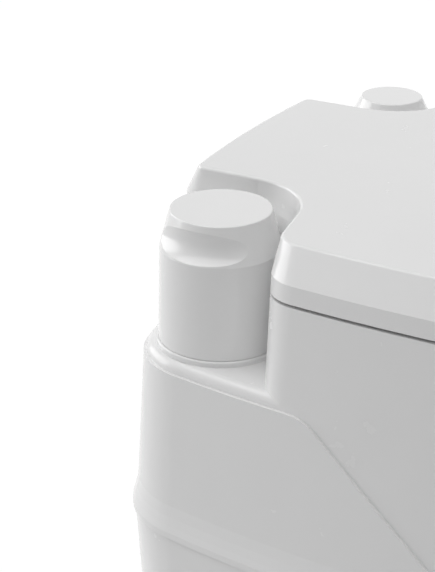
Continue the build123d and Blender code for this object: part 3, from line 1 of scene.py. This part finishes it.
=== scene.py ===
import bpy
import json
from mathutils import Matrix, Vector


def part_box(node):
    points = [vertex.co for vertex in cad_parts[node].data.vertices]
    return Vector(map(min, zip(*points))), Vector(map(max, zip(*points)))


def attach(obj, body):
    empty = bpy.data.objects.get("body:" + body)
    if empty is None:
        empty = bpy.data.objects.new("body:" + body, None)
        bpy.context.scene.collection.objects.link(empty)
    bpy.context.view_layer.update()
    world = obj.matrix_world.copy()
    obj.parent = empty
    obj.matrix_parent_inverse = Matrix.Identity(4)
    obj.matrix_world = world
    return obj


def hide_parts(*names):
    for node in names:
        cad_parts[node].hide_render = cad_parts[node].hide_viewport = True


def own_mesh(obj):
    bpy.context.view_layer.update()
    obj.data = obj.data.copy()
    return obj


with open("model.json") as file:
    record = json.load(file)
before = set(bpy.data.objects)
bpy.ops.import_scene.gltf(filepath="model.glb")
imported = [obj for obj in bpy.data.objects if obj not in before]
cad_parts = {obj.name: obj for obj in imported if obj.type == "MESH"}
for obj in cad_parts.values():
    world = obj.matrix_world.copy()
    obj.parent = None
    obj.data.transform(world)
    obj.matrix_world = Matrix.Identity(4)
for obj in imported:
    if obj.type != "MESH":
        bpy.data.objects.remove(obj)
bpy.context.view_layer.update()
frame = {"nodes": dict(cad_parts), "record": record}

import json
from math import cos, pi, radians, sin

import bpy
import numpy as np
from bpy.props import FloatProperty, FloatVectorProperty, IntProperty, PointerProperty
from bpy.types import Operator, Panel, PropertyGroup
from mathutils import Matrix, Vector

bl_info = {
    "name": "Portable Toilet Finish",
    "version": (1, 0, 0),
    "blender": (4, 5, 0),
    "location": "View3D > Sidebar > Toilet",
    "description": "Finishes the plastic, rubber and steel of a portable toilet round its fixed CAD frame",
    "category": "Object",
}

NODES = frame["nodes"]
SPRING_LOW, SPRING_HIGH = (Vector(corner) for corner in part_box("vent_spring"))

# Light and floor
OVERHEAD_SOFTNESS = 70          # degrees
OVERHEAD_DIRECTION = (0.12, -0.1, -1.0)
SIDE_SOFTNESS = 50
SIDE_DIRECTION = (0.1, -0.95, -0.25)
FLOOR_TONES = (0.69, 0.71)
FLOOR_WHITE_SHARE = 0.9         # how much of the floor is plain white where it is seen
FLOOR_WHITE_STRENGTH = 1.06

# Wear and detail
SCUFF_HEIGHT = 0.018            # metres above the floor
SCUFF_SHARE = 0.12
SCUFF_SHADE = 0.55
RUB_ROUGHNESS = 0.25            # what a handling mark adds to the roughness
SPRING_SIDE_PLAY = 0.0002
SPRING_END_PLAY = 0.0001
SPRING_STEPS_PER_TURN = 48
CLOSED_TURNS = 0.9              # how much of a turn lies nearly flat at each end
END_PRESS = 2.2                 # how tightly the closed ends lie


# Helpers for shader nodes
def new_group(name, inputs, outputs):
    """An empty shader node group with named float, colour and vector sockets."""
    group = bpy.data.node_groups.new(name, "ShaderNodeTree")
    for socket, kind, value in inputs:
        made = group.interface.new_socket(name=socket, in_out="INPUT", socket_type=kind)
        if value is not None:
            made.default_value = value
    for socket, kind in outputs:
        group.interface.new_socket(name=socket, in_out="OUTPUT", socket_type=kind)
    return group, group.nodes.new("NodeGroupInput"), group.nodes.new("NodeGroupOutput")


def noise(tree, vector, scale, detail=2.0, roughness=0.5):
    """A Noise Texture's Factor, fed by a vector socket; scale may be a socket."""
    node = tree.nodes.new("ShaderNodeTexNoise")
    node.inputs["Detail"].default_value = detail
    node.inputs["Roughness"].default_value = roughness
    tree.links.new(vector, node.inputs["Vector"])
    set_or_link(tree, scale, node.inputs["Scale"])
    return node.outputs["Factor"] if "Factor" in node.outputs else node.outputs["Fac"]


def set_or_link(tree, value, socket):
    """Put a number on a socket, or link it where the value is a socket."""
    if isinstance(value, bpy.types.NodeSocket):
        tree.links.new(value, socket)
    else:
        socket.default_value = value


def calculate(tree, operation, first, second=0.5, third=None):
    """One Math node: operation on two or three numbers or sockets."""
    node = tree.nodes.new("ShaderNodeMath")
    node.operation = operation
    set_or_link(tree, first, node.inputs[0])
    set_or_link(tree, second, node.inputs[1])
    if third is not None:
        set_or_link(tree, third, node.inputs[2])
    return node.outputs[0]


def remap(tree, value, low, high, to_low=0.0, to_high=1.0):
    """A clamped Map Range from low..high to to_low..to_high."""
    node = tree.nodes.new("ShaderNodeMapRange")
    tree.links.new(value, node.inputs["Value"])
    for socket, number in (("From Min", low), ("From Max", high), ("To Min", to_low), ("To Max", to_high)):
        set_or_link(tree, number, node.inputs[socket])
    return node.outputs["Result"]


def blend_colour(tree, factor, first, second):
    """A Mix Color node between two colours."""
    node = tree.nodes.new("ShaderNodeMix")
    node.data_type = "RGBA"
    set_or_link(tree, factor, node.inputs[0])
    set_or_link(tree, first, node.inputs[6])
    set_or_link(tree, second, node.inputs[7])
    return node.outputs[2]


def stretched(tree, vector, scale, turn):
    """The vector turned and stretched, for grain that runs one way."""
    node = tree.nodes.new("ShaderNodeMapping")
    node.inputs["Scale"].default_value = scale
    node.inputs["Rotation"].default_value = turn
    tree.links.new(vector, node.inputs["Vector"])
    return node.outputs["Vector"]


# Effects that several materials share
def moulded_skin():
    """Moulded plastic: faint broad mottle in the colour, cloudy gloss, and a fine even grain in height."""
    group, given, out = new_group(
        "Moulded Skin",
        [("Vector", "NodeSocketVector", None), ("Colour", "NodeSocketColor", (0.8, 0.8, 0.8, 1)),
         ("Shade", "NodeSocketColor", (0.7, 0.7, 0.7, 1)), ("Grain Scale", "NodeSocketFloat", 900.0),
         ("Gloss Low", "NodeSocketFloat", 0.3), ("Gloss High", "NodeSocketFloat", 0.4)],
        [("Colour", "NodeSocketColor"), ("Roughness", "NodeSocketFloat"), ("Height", "NodeSocketFloat")])
    vector = given.outputs["Vector"]
    broad = remap(group, noise(group, vector, 11.0, 3.0), 0.35, 0.65)
    colour = blend_colour(group, broad, given.outputs["Colour"], given.outputs["Shade"])
    cloudy = noise(group, vector, 42.0, 4.0, 0.6)
    gloss = remap(group, cloudy, 0.3, 0.7, given.outputs["Gloss Low"], given.outputs["Gloss High"])
    grain = noise(group, vector, given.outputs["Grain Scale"], 2.0)
    ripple = noise(group, vector, 26.0, 1.0)
    height = calculate(group, "MULTIPLY_ADD", ripple, 3.0, grain)
    group.links.new(colour, out.inputs["Colour"])
    group.links.new(gloss, out.inputs["Roughness"])
    group.links.new(height, out.inputs["Height"])
    return group


def handling_marks():
    """Fine crossing scratches: two stretched noises, cut to thin lines and broken up by a third."""
    group, given, out = new_group(
        "Handling Marks",
        [("Vector", "NodeSocketVector", None), ("Amount", "NodeSocketFloat", 0.5)],
        [("Mask", "NodeSocketFloat")])
    vector = given.outputs["Vector"]
    lines = []
    for scale, turn in (((14.0, 900.0, 40.0), (0.3, 0.1, 0.5)), ((700.0, 16.0, 60.0), (0.2, 0.4, -0.7))):
        streak = noise(group, stretched(group, vector, scale, turn), 1.0, 1.0)
        lines.append(remap(group, streak, 0.71, 0.76))
    both = calculate(group, "MAXIMUM", lines[0], lines[1])
    patches = remap(group, noise(group, vector, 17.0, 2.0), 0.5, 0.62)
    broken = calculate(group, "MULTIPLY", both, patches)
    group.links.new(calculate(group, "MULTIPLY", broken, given.outputs["Amount"]), out.inputs["Mask"])
    return group


def floor_scuffs():
    """Rubbed and soiled close to the floor: a mask that fades out with height, broken up by noise."""
    group, given, out = new_group(
        "Floor Scuffs",
        [("Vector", "NodeSocketVector", None), ("Height", "NodeSocketFloat", 0.02)],
        [("Mask", "NodeSocketFloat")])
    vector = given.outputs["Vector"]
    split = group.nodes.new("ShaderNodeSeparateXYZ")
    group.links.new(vector, split.inputs[0])
    low = remap(group, split.outputs["Z"], given.outputs["Height"], 0.0)
    patches = remap(group, noise(group, vector, 90.0, 5.0, 0.7), 0.45, 0.75)
    group.links.new(calculate(group, "MULTIPLY", low, patches), out.inputs["Mask"])
    return group


def brushed_grain():
    """Drawn or turned metal: fine streaks along one direction, in gloss and height."""
    group, given, out = new_group(
        "Brushed Grain",
        [("Vector", "NodeSocketVector", None), ("Gloss Low", "NodeSocketFloat", 0.2),
         ("Gloss High", "NodeSocketFloat", 0.4)],
        [("Roughness", "NodeSocketFloat"), ("Height", "NodeSocketFloat")])
    along = stretched(group, given.outputs["Vector"], (120.0, 120.0, 2600.0), (0.0, 0.0, 0.0))
    streak = noise(group, along, 1.0, 3.0)
    gloss = remap(group, streak, 0.3, 0.7, given.outputs["Gloss Low"], given.outputs["Gloss High"])
    group.links.new(gloss, out.inputs["Roughness"])
    group.links.new(streak, out.inputs["Height"])
    return group


def shared(name, make):
    """A node group by name, made on first use."""
    return bpy.data.node_groups.get(name) or make()


def place_group(tree, group, **values):
    """Put a group in a material, with its own values, and return the node."""
    node = tree.nodes.new("ShaderNodeGroup")
    node.node_tree = group
    for socket, value in values.items():
        set_or_link(tree, value, node.inputs[socket.replace("_", " ")])
    return node


def rgba(colour, share=1.0):
    """A colour property as four numbers, dimmed by share."""
    return (colour[0] * share, colour[1] * share, colour[2] * share, 1.0)


def start_material(name):
    """A node material; returns it with its tree, its Principled BSDF and Object coordinates."""
    material = bpy.data.materials.new(name)
    material.use_nodes = True
    tree = material.node_tree
    place = tree.nodes.new("ShaderNodeTexCoord").outputs["Object"]
    return material, tree, tree.nodes["Principled BSDF"], place


def add_bump(tree, shader, height, depth):
    """A Bump node, depth in metres, from a height to the shader's Normal."""
    bump = tree.nodes.new("ShaderNodeBump")
    bump.inputs["Strength"].default_value = 1.0
    bump.inputs["Distance"].default_value = depth
    tree.links.new(height, bump.inputs["Height"])
    tree.links.new(bump.outputs["Normal"], shader.inputs["Normal"])


def moulded_plastic(name, colour, gloss, grain_size, grain_depth, marks=0.0, mottle=0.985, coat=0.0):
    """Plastic with a moulded skin, and with handling marks where marks is above 0."""
    material, tree, shader, place = start_material(name)
    skin = place_group(tree, shared("Moulded Skin", moulded_skin), Vector=place, Colour=rgba(colour),
                       Shade=rgba(colour, mottle), Grain_Scale=1.0 / grain_size,
                       Gloss_Low=gloss * 0.9, Gloss_High=gloss * 1.15)
    gloss_socket = skin.outputs["Roughness"]
    if marks > 0:
        rubs = place_group(tree, shared("Handling Marks", handling_marks), Vector=place, Amount=marks)
        gloss_socket = calculate(tree, "MULTIPLY_ADD", rubs.outputs["Mask"], RUB_ROUGHNESS, gloss_socket)
    tree.links.new(gloss_socket, shader.inputs["Roughness"])
    tree.links.new(skin.outputs["Colour"], shader.inputs["Base Color"])
    shader.inputs["IOR"].default_value = 1.5
    shader.inputs["Coat Weight"].default_value = coat
    shader.inputs["Coat Roughness"].default_value = 0.12
    add_bump(tree, shader, skin.outputs["Height"], grain_depth)
    return material, tree, shader, place, skin


def slot_nodes(slot):
    """The CAD nodes that the record gives a material slot."""
    return [NODES[part["node"]] for part in frame["record"]["subparts"] if part["material_slot"] == slot]


def dress(material, slot):
    """Give the CAD nodes of a slot their material."""
    found = slot_nodes(slot)
    if not found:
        raise RuntimeError(f"no CAD node has the slot {slot}")
    for node in found:
        if not node.material_slots:
            node.data.materials.append(material)
        for place in node.material_slots:
            place.material = material


# Surfaces worked out with numpy
def make_mesh(name, points, faces):
    """A smooth-shaded object from an array of points and an array of faces."""
    mesh = bpy.data.meshes.new(name)
    mesh.from_pydata(points.tolist(), [], faces)
    mesh.polygons.foreach_set("use_smooth", np.ones(len(mesh.polygons), dtype=bool))
    mesh.update()
    piece = bpy.data.objects.new(name, mesh)
    bpy.context.scene.collection.objects.link(piece)
    return piece


def coil_spring(centre, radius, wire_r, low_z, high_z, turns, steps, sides):
    """Points and faces of a compression spring with closed ends.

    The centre line is a circle of the mean radius at angle a, and its height rises with the share s of the
    length as low + (high - low) * smooth(s), where smooth holds the first and last turn nearly flat.
    Round it goes the wire's ring: centre + wire_r * (cos b * outwards + sin b * across), with across at right
    angles to the wire. Both ends close on a centre point.
    """
    share = np.linspace(0.0, 1.0, steps + 1)
    span = high_z - low_z
    flat = CLOSED_TURNS / turns
    rise = np.clip((share - flat) / (1.0 - 2.0 * flat), 0.0, 1.0)
    ends = np.minimum(share, flat) + np.maximum(share - 1.0 + flat, 0.0)
    height = low_z + span * (wire_r * 2.0 / span * ends / flat / END_PRESS
                             + rise * (1.0 - wire_r * 4.0 / span / END_PRESS))
    angle = 2.0 * pi * turns * share
    outwards = np.stack([np.cos(angle), np.sin(angle), np.zeros_like(angle)], axis=1)
    line = np.stack([centre[0] + radius * np.cos(angle), centre[1] + radius * np.sin(angle), height], axis=1)
    along = np.gradient(line, axis=0)
    along /= np.linalg.norm(along, axis=1, keepdims=True)
    across = np.cross(along, outwards)
    ring = 2.0 * pi * np.arange(sides) / sides
    points = (line[:, None, :] + wire_r * (np.cos(ring)[None, :, None] * outwards[:, None, :]
                                           + np.sin(ring)[None, :, None] * across[:, None, :])).reshape(-1, 3)
    step, side = np.meshgrid(np.arange(steps), np.arange(sides), indexing="ij")
    here = step * sides + side
    beside = step * sides + (side + 1) % sides
    quads = np.stack([here, here + sides, beside + sides, beside], axis=-1).reshape(-1, 4)
    first = len(points)
    last = first + 1
    points = np.vstack([points, line[:1], line[-1:]])
    rim = np.arange(sides)
    start_cap = np.stack([np.full(sides, first), rim, (rim + 1) % sides], axis=1)
    end_rim = steps * sides
    end_cap = np.stack([np.full(sides, last), end_rim + (rim + 1) % sides, end_rim + rim], axis=1)
    return points, outward(points, quads.tolist() + start_cap.tolist() + end_cap.tolist())


def outward(points, faces):
    """The faces, all turned round if the volume that they close is negative."""
    volume = 0.0
    for face in faces:
        corners = points[list(face)]
        for k in range(1, len(face) - 1):
            volume += np.dot(corners[0], np.cross(corners[k], corners[k + 1]))
    return faces if volume > 0 else [face[::-1] for face in faces]


# Settings
class ToiletFinish(PropertyGroup):
    """Colours and gloss of the plastics, rubber and steel."""
    shell: FloatVectorProperty(name="Shell", description="White plastic of tank, shell, seat and lid",
                               subtype="COLOR", size=3, min=0, max=1, default=(0.85, 0.85, 0.85))
    caps: FloatVectorProperty(name="Caps", description="White plastic of the filler cap and the pump knob",
                              subtype="COLOR", size=3, min=0, max=1, default=(0.87, 0.87, 0.87))
    bowl: FloatVectorProperty(name="Bowl", description="Glossy white plastic of the bowl",
                              subtype="COLOR", size=3, min=0, max=1, default=(0.86, 0.86, 0.855))
    inner: FloatVectorProperty(name="Inner parts", description="Plain plastic of hidden parts and the valve",
                               subtype="COLOR", size=3, min=0, max=1, default=(0.66, 0.67, 0.68))
    fittings: FloatVectorProperty(name="Fittings", description="Grey plastic of handle, latches and spout",
                                  subtype="COLOR", size=3, min=0, max=1, default=(0.20, 0.21, 0.225))
    windows: FloatVectorProperty(name="Windows", description="Clear plastic of the level windows",
                                 subtype="COLOR", size=3, min=0, max=1, default=(0.93, 0.95, 0.96))
    hose: FloatVectorProperty(name="Hose", description="Soft plastic of the flush hose",
                              subtype="COLOR", size=3, min=0, max=1, default=(0.74, 0.75, 0.70))
    seals: FloatVectorProperty(name="Seals", description="Black rubber of seals and buffers",
                               subtype="COLOR", size=3, min=0, max=1, default=(0.022, 0.022, 0.023))
    steel: FloatVectorProperty(name="Steel", description="Pins, screws, rod and spring",
                               subtype="COLOR", size=3, min=0, max=1, default=(0.60, 0.60, 0.62))
    level_mark: FloatVectorProperty(name="Float", description="Float that shows through the level window",
                                    subtype="COLOR", size=3, min=0, max=1, default=(0.52, 0.06, 0.035))
    shell_gloss: FloatProperty(name="Shell roughness", description="Roughness of the white plastic",
                               subtype="FACTOR", min=0, max=1, default=0.24)
    grain_size: FloatProperty(name="Grain size", description="Size of the moulded grain",
                              subtype="DISTANCE", unit="LENGTH", min=0.0002, default=0.0011)
    grain_depth: FloatProperty(name="Grain depth", description="Depth of the moulded grain",
                               subtype="DISTANCE", unit="LENGTH", min=0, default=0.000010, precision=6)


class ToiletSpring(PropertyGroup):
    """Sizes of the vent spring."""
    wire: FloatProperty(name="Wire", description="Diameter of the wire", subtype="DISTANCE", unit="LENGTH",
                        min=0.0003, default=0.0011, precision=4)
    turns: FloatProperty(name="Turns", description="Turns from end to end", min=2, default=4.5)
    sides: IntProperty(name="Sides", description="Faces round the wire", min=6, default=14)


class ToiletStage(PropertyGroup):
    """Camera, lamps and floor."""
    camera_place: FloatVectorProperty(name="Camera", description="Where the camera stands",
                                      subtype="TRANSLATION", unit="LENGTH", size=3,
                                      default=(-0.8936, -0.2839, 0.7650))
    heading: FloatProperty(name="Heading", description="Camera's direction, from +X towards +Y",
                           subtype="ANGLE", unit="ROTATION", default=radians(29.31))
    tilt: FloatProperty(name="Tilt", description="How far the camera looks down", subtype="ANGLE",
                        unit="ROTATION", default=radians(24.72))
    lens: FloatProperty(name="Lens", description="Focal length on a 36 mm long side", unit="CAMERA",
                        min=10, default=100.7)
    key: FloatProperty(name="Key lamp", description="Strength of the broad lamp overhead",
                       min=0, default=1.42)
    rim: FloatProperty(name="Side lamp", description="Strength of the soft lamp from behind",
                       min=0, default=1.3)
    sky: FloatProperty(name="Fill", description="Strength of the even light all round", min=0, default=0.24)
    floor_size: FloatProperty(name="Floor", description="Side of the floor", subtype="DISTANCE",
                              unit="LENGTH", min=1, default=14.0)


class ToiletSettings(PropertyGroup):
    """All that a user would change."""
    finish: PointerProperty(type=ToiletFinish)
    spring: PointerProperty(type=ToiletSpring)
    stage: PointerProperty(type=ToiletStage)


# Operators
class TOILET_OT_white_shells(Operator):
    """Finish the tank, shell, seat, lid, tower and neck in satin white plastic"""
    bl_idname = "toilet.white_shells"
    bl_label = "White Shells"

    def execute(self, context):
        finish = context.scene.toilet.finish
        material, tree, shader, place, skin = moulded_plastic(
            "Satin white plastic", finish.shell, finish.shell_gloss, finish.grain_size, finish.grain_depth,
            coat=0.35)
        scuffs = place_group(tree, shared("Floor Scuffs", floor_scuffs), Vector=place,
                             Height=SCUFF_HEIGHT)
        worn = blend_colour(tree, calculate(tree, "MULTIPLY", scuffs.outputs["Mask"], SCUFF_SHARE),
                            skin.outputs["Colour"], rgba(finish.shell, SCUFF_SHADE))
        tree.links.new(worn, shader.inputs["Base Color"])
        dress(material, "white_shell")
        return {"FINISHED"}


class TOILET_OT_caps(Operator):
    """Finish the filler cap and the pump knob"""
    bl_idname = "toilet.caps"
    bl_label = "Cap and Knob"

    def execute(self, context):
        finish = context.scene.toilet.finish
        made = moulded_plastic("White cap plastic", finish.caps, finish.shell_gloss * 0.85,
                               finish.grain_size * 0.8, finish.grain_depth * 0.7, coat=0.6)
        dress(made[0], "white_cap")
        return {"FINISHED"}


class TOILET_OT_bowl(Operator):
    """Finish the bowl in glossy white plastic"""
    bl_idname = "toilet.bowl"
    bl_label = "Bowl"

    def execute(self, context):
        finish = context.scene.toilet.finish
        made = moulded_plastic("Glossy bowl plastic", finish.bowl, 0.2, finish.grain_size * 2.0,
                               finish.grain_depth * 0.4, marks=0.2, mottle=0.985, coat=0.35)
        dress(made[0], "bowl_white")
        return {"FINISHED"}


class TOILET_OT_inner_parts(Operator):
    """Finish the plain plastic of the pump, the valve and the hidden parts"""
    bl_idname = "toilet.inner_parts"
    bl_label = "Inner Parts"

    def execute(self, context):
        finish = context.scene.toilet.finish
        made = moulded_plastic("Plain inner plastic", finish.inner, 0.5, finish.grain_size * 0.6,
                               finish.grain_depth * 1.4, marks=0.5, mottle=0.93)
        dress(made[0], "inner_plastic")
        return {"FINISHED"}


class TOILET_OT_fittings(Operator):
    """Finish the handle, latches, spout and vent button in grey plastic"""
    bl_idname = "toilet.fittings"
    bl_label = "Grey Fittings"

    def execute(self, context):
        finish = context.scene.toilet.finish
        made = moulded_plastic("Grey fitting plastic", finish.fittings, 0.42, finish.grain_size * 0.5,
                               finish.grain_depth * 2.4, marks=0.9, mottle=0.88)
        dress(made[0], "grey_plastic")
        return {"FINISHED"}


class TOILET_OT_windows(Operator):
    """Finish the two level windows in clear plastic with a faint haze"""
    bl_idname = "toilet.windows"
    bl_label = "Level Windows"

    def execute(self, context):
        finish = context.scene.toilet.finish
        material, tree, shader, place = start_material("Clear window plastic")
        skin = place_group(tree, shared("Moulded Skin", moulded_skin), Vector=place,
                           Colour=rgba(finish.windows), Shade=rgba(finish.windows, 0.94),
                           Grain_Scale=400.0, Gloss_Low=0.1, Gloss_High=0.2)
        tree.links.new(skin.outputs["Colour"], shader.inputs["Base Color"])
        tree.links.new(skin.outputs["Roughness"], shader.inputs["Roughness"])
        shader.inputs["Transmission Weight"].default_value = 0.7
        shader.inputs["IOR"].default_value = 1.49
        add_bump(tree, shader, skin.outputs["Height"], 0.000006)
        dress(material, "clear_plastic")
        return {"FINISHED"}


class TOILET_OT_hose(Operator):
    """Finish the flush hose in soft milky plastic"""
    bl_idname = "toilet.hose"
    bl_label = "Flush Hose"

    def execute(self, context):
        finish = context.scene.toilet.finish
        made = moulded_plastic("Soft hose plastic", finish.hose, 0.28, finish.grain_size,
                               finish.grain_depth * 0.5, marks=0.2)
        made[2].inputs["Transmission Weight"].default_value = 0.25
        dress(made[0], "hose_plastic")
        return {"FINISHED"}


class TOILET_OT_seals(Operator):
    """Finish the seals and buffers in black rubber"""
    bl_idname = "toilet.seals"
    bl_label = "Seals and Buffers"

    def execute(self, context):
        finish = context.scene.toilet.finish
        made = moulded_plastic("Black rubber", finish.seals, 0.72, 0.0006, 0.00003, marks=0.3, mottle=0.6)
        dress(made[0], "rubber")
        return {"FINISHED"}


def steel_material(colour):
    """Brushed steel with fine streaks, made on first use."""
    name = "Drawn steel"
    if name in bpy.data.materials:
        return bpy.data.materials[name]
    material, tree, shader, place = start_material(name)
    grain = place_group(tree, shared("Brushed Grain", brushed_grain), Vector=place,
                        Gloss_Low=0.18, Gloss_High=0.36)
    tone = blend_colour(tree, remap(tree, noise(tree, place, 260.0, 3.0), 0.35, 0.65), rgba(colour),
                        rgba(colour, 0.82))
    tree.links.new(tone, shader.inputs["Base Color"])
    tree.links.new(grain.outputs["Roughness"], shader.inputs["Roughness"])
    shader.inputs["Metallic"].default_value = 1.0
    add_bump(tree, shader, grain.outputs["Height"], 0.00001)
    return material


class TOILET_OT_steel_parts(Operator):
    """Finish the pins, screws, rod and ball in brushed steel"""
    bl_idname = "toilet.steel_parts"
    bl_label = "Steel Parts"

    def execute(self, context):
        dress(steel_material(context.scene.toilet.finish.steel), "steel")
        return {"FINISHED"}


class TOILET_OT_level_float(Operator):
    """Finish the float that shows the level"""
    bl_idname = "toilet.level_float"
    bl_label = "Level Float"

    def execute(self, context):
        finish = context.scene.toilet.finish
        made = moulded_plastic("Float plastic", finish.level_mark, 0.5, 0.0008, 0.00003,
                               marks=0.3, mottle=0.85)
        dress(made[0], "float_red")
        return {"FINISHED"}


class TOILET_OT_vent_spring(Operator):
    """Build the coil spring under the vent button"""
    bl_idname = "toilet.vent_spring"
    bl_label = "Vent Spring"

    def execute(self, context):
        sizes = context.scene.toilet.spring
        wire_r = sizes.wire / 2
        centre = (SPRING_LOW + SPRING_HIGH) / 2
        radius = (SPRING_HIGH.x - SPRING_LOW.x) / 2 - wire_r - SPRING_SIDE_PLAY
        low_z = SPRING_LOW.z + wire_r + SPRING_END_PLAY
        high_z = SPRING_HIGH.z - wire_r - SPRING_END_PLAY
        steps = int(SPRING_STEPS_PER_TURN * sizes.turns)
        points, faces = coil_spring(centre, radius, wire_r, low_z, high_z, sizes.turns, steps, sizes.sides)
        spring = make_mesh("vent_coil", points, faces)
        spring.data.materials.append(steel_material(context.scene.toilet.finish.steel))
        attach(spring, "waste_tank_unit")
        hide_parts("vent_spring")
        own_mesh(spring)
        return {"FINISHED"}


def seen_mask(tree):
    """1 for camera, glossy and transmission rays, else 0."""
    path = tree.nodes.new("ShaderNodeLightPath")
    both = calculate(tree, "MAXIMUM", path.outputs["Is Camera Ray"], path.outputs["Is Glossy Ray"])
    return calculate(tree, "MAXIMUM", both, path.outputs["Is Transmission Ray"])


def add_sun(name, strength, softness, towards):
    """A soft sun lamp that shines along a direction."""
    lamp = bpy.data.lights.new(name, "SUN")
    lamp.energy = strength
    lamp.angle = radians(softness)
    holder = bpy.data.objects.new(name, lamp)
    holder.rotation_euler = Vector(towards).to_track_quat("-Z", "Y").to_euler()
    bpy.context.scene.collection.objects.link(holder)


class TOILET_OT_stage(Operator):
    """Set the floor, the lamps, the even light and the camera"""
    bl_idname = "toilet.stage"
    bl_label = "Stage"

    def execute(self, context):
        scene = context.scene
        stage = scene.toilet.stage
        half = stage.floor_size / 2
        corners = np.array([(-half, -half, 0.0), (half, -half, 0.0), (half, half, 0.0), (-half, half, 0.0)])
        floor = make_mesh("studio_floor", corners, [(0, 1, 2, 3)])
        material, tree, shader, place = start_material("Pale studio floor")
        dark, light = ((tone, tone, tone, 1) for tone in FLOOR_TONES)
        tone = blend_colour(tree, noise(tree, place, 2.0), dark, light)
        tree.links.new(tone, shader.inputs["Base Color"])
        shader.inputs["Roughness"].default_value = 0.9
        white = tree.nodes.new("ShaderNodeEmission")
        white.inputs["Color"].default_value = (1, 1, 1, 1)
        white.inputs["Strength"].default_value = FLOOR_WHITE_STRENGTH
        mix = tree.nodes.new("ShaderNodeMixShader")
        tree.links.new(calculate(tree, "MULTIPLY", seen_mask(tree), FLOOR_WHITE_SHARE), mix.inputs[0])
        tree.links.new(shader.outputs[0], mix.inputs[1])
        tree.links.new(white.outputs[0], mix.inputs[2])
        tree.links.new(mix.outputs[0], tree.nodes["Material Output"].inputs["Surface"])
        floor.data.materials.append(material)

        world = bpy.data.worlds.new("Even white studio")
        scene.world = world
        world.use_nodes = True
        sky = world.node_tree
        strength = calculate(sky, "MULTIPLY_ADD", seen_mask(sky), 1.0 - stage.sky, stage.sky)
        background = sky.nodes["Background"]
        background.inputs["Color"].default_value = (1, 1, 1, 1)
        sky.links.new(strength, background.inputs["Strength"])

        add_sun("Overhead lamp", stage.key, OVERHEAD_SOFTNESS, OVERHEAD_DIRECTION)
        add_sun("Side lamp", stage.rim, SIDE_SOFTNESS, SIDE_DIRECTION)

        camera = bpy.data.cameras.new("Photo camera")
        camera.lens = stage.lens
        camera.sensor_width = 36.0
        camera.clip_end = 100.0
        viewer = bpy.data.objects.new("Photo camera", camera)
        level = cos(stage.tilt)
        ahead = Vector((cos(stage.heading) * level, sin(stage.heading) * level, -sin(stage.tilt)))
        right = Vector((sin(stage.heading), -cos(stage.heading), 0.0))
        turn = Matrix((right, right.cross(ahead), -ahead)).transposed()
        viewer.matrix_world = Matrix.Translation(stage.camera_place) @ turn.to_4x4()
        scene.collection.objects.link(viewer)
        bpy.context.scene.camera = viewer
        scene.view_settings.view_transform = "Standard"
        return {"FINISHED"}


STEPS = (
    TOILET_OT_white_shells,
    TOILET_OT_caps,
    TOILET_OT_bowl,
    TOILET_OT_inner_parts,
    TOILET_OT_fittings,
    TOILET_OT_windows,
    TOILET_OT_hose,
    TOILET_OT_seals,
    TOILET_OT_steel_parts,
    TOILET_OT_level_float,
    TOILET_OT_vent_spring,
    TOILET_OT_stage,
)


class TOILET_PT_finish(Panel):
    """The toilet's finish, in the 3D view's sidebar"""
    bl_label = "Portable Toilet"
    bl_space_type = "VIEW_3D"
    bl_region_type = "UI"
    bl_category = "Toilet"

    def draw(self, context):
        settings = context.scene.toilet
        for group in (settings.finish, settings.spring, settings.stage):
            box = self.layout.box()
            for name in group.__annotations__:
                box.prop(group, name)
        for step in STEPS:
            self.layout.operator(step.bl_idname)


CLASSES = (ToiletFinish, ToiletSpring, ToiletStage, ToiletSettings) + STEPS + (TOILET_PT_finish,)


def register():
    """Register the classes and the scene's settings."""
    for cls in CLASSES:
        bpy.utils.register_class(cls)
    bpy.types.Scene.toilet = PointerProperty(type=ToiletSettings)


def unregister():
    """Take the settings and the classes away again."""
    del bpy.types.Scene.toilet
    for cls in reversed(CLASSES):
        bpy.utils.unregister_class(cls)


def main():
    """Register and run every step."""
    register()
    for step in STEPS:
        group, name = step.bl_idname.split(".")
        getattr(getattr(bpy.ops, group), name)()
    bpy.context.view_layer.update()


if __name__ == "__main__":
    main()
